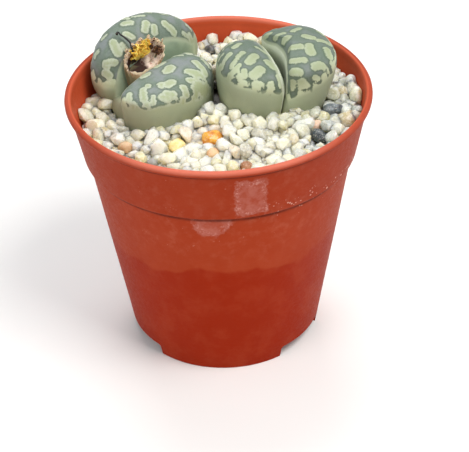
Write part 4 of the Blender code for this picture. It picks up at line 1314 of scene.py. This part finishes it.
def quartz_finish():
    """Clouded quartz in each stone's own tint, with painted shade in the crevice between the leaf pairs."""
    quartz = Finish("translucent_quartz", 0.38, Subsurface_Weight=0.85, Subsurface_Scale=0.001,
                    Subsurface_Radius=(3.6, 3.3, 2.6), Specular_IOR_Level=0.6, Transmission_Weight=0.06)
    depth = quartz.axis("Y")
    cloud = quartz.noise(0.9, 4.0, 0.6)
    tint = quartz.stored("stone_tint", "Color")
    colour = quartz.mix(cloud.step(0.45, 0.7, 0.0, 0.45), tint, paint(250, 248, 240))
    vein = quartz.noise(1.3, 5.0, 0.7, distortion=0.8).step(0.54, 0.68, 0.0, 0.5)
    colour = quartz.mix(vein, colour, paint(214, 200, 162))
    frost = quartz.noise(2.6, 5.0, 0.75).step(0.52, 0.62, 0.0, 0.5)
    colour = quartz.mix(frost, colour, paint(254, 251, 238))
    # Painted shade: near-black in the crevice between the leaf pairs
    crevice = abs(quartz.axis("X") - CREVICE_X).step(1.9, 1.2) * depth.step(2.2, 3.6) * depth.step(14.5, 9.5)
    colour = quartz.mix(crevice, colour, paint(52, 46, 34))
    colour = quartz.mix(quartz.cells(1.9).step(0.14, 0.05, 0.0, 0.35), colour, paint(150, 140, 122))
    quartz.bump(quartz.noise(3.0, 4.0, 0.6), 0.05)
    quartz.bump(quartz.noise(11.0, 2.0), 0.01)
    return quartz.finish(colour, cloud.step(0.3, 0.7, 0.18, 0.5))


def merged_copy(node, name):
    """A copy of a solid with its corners merged, free of the frame."""
    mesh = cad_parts[node].data.copy()
    mesh.materials.clear()
    copy = bpy.data.objects.new(name, mesh)
    bpy.context.scene.collection.objects.link(copy)
    with editing(copy):
        bpy.ops.mesh.remove_doubles(threshold=0.000002)
    return copy


# Coloured stones: the stone's main tint, its second tint, how glossy it is and how much its
# broken edges stand out past the plain solid
STONE_TINTS = {
    "stone_amber": (paint(226, 168, 62), paint(196, 116, 26), 0.22, 1.3),
    "stone_yellow": (paint(243, 229, 172), paint(234, 210, 132), 0.35, 1.3),
    "stone_slate_front": (paint(70, 78, 80), paint(36, 42, 45), 0.25, 1.4),
    "stone_slate_back": (paint(126, 134, 138), paint(66, 74, 80), 0.3, 1.25),
    "stone_brown": (paint(172, 122, 86), paint(136, 88, 58), 0.45, 1.12),
    "stone_pink": (paint(230, 200, 176), paint(212, 172, 144), 0.45, 1.25),
    "stone_tan_left": (paint(216, 184, 144), paint(190, 152, 112), 0.45, 1.2),
    "stone_tan_front": (paint(224, 190, 148), paint(204, 162, 118), 0.45, 1.1),
    "stone_grey_front": (paint(164, 164, 158), paint(128, 128, 122), 0.4, 1.0),
    "stone_dark_back": (paint(92, 92, 94), paint(58, 58, 60), 0.4, 1.1),
}


def make_coloured_stone(name):
    main, second, roughness, growth = STONE_TINTS[name]
    stone = merged_copy(name, "pebble_" + name)
    spots = vertex_spots(stone)
    middle = spots.mean(axis=0)
    move_vertices(stone, middle + (spots - middle) * growth)
    apply_modifier(stone, "BEVEL", width=0.28 * MM, segments=3, limit_method="ANGLE",
                   angle_limit=math.radians(12))
    stone = clean_shell(stone)
    smooth(stone, 40)
    pebble = Finish(name + "_finish", roughness, Subsurface_Weight=0.1, Subsurface_Scale=0.001)
    cloud = pebble.noise(0.8, 5.0, 0.65)
    colour = pebble.mix(cloud.step(0.4, 0.66), main, second)
    chalk = pebble.noise(4.0, 3.0).step(0.55, 0.7, 0.0, 0.4)
    colour = pebble.mix(chalk, colour, paint(232, 224, 208))
    pebble.bump(pebble.noise(3.0, 4.0, 0.6), 0.06)
    dress(stone, pebble.finish(colour), name, name)
    return stone


def dress_soil():
    soil = Finish("gritty_potting_soil", 0.95)
    crumb = soil.cells(1.2)
    colour = soil.mix(soil.noise(0.8, 5.0, 0.7).step(0.35, 0.7), paint(58, 42, 32), paint(92, 72, 54))
    colour = soil.mix(crumb.step(0.2, 0.08), colour, paint(150, 138, 120))
    soil.bump(crumb, 0.3)
    soil.bump(soil.noise(3.0, 4.0), 0.15)
    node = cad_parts["potting_soil"]
    node.data.materials.clear()
    node.data.materials.append(soil.finish(colour))


set_camera()
make_pot()
skin_finish = leaf_finish()
for pair_name in PAIRS:
    make_leaf_pair(pair_name, skin_finish)
make_flower()
coloured = [make_coloured_stone(stone_name) for stone_name in STONE_TINTS]
make_grit(coloured)
dress_soil()
set_studio()
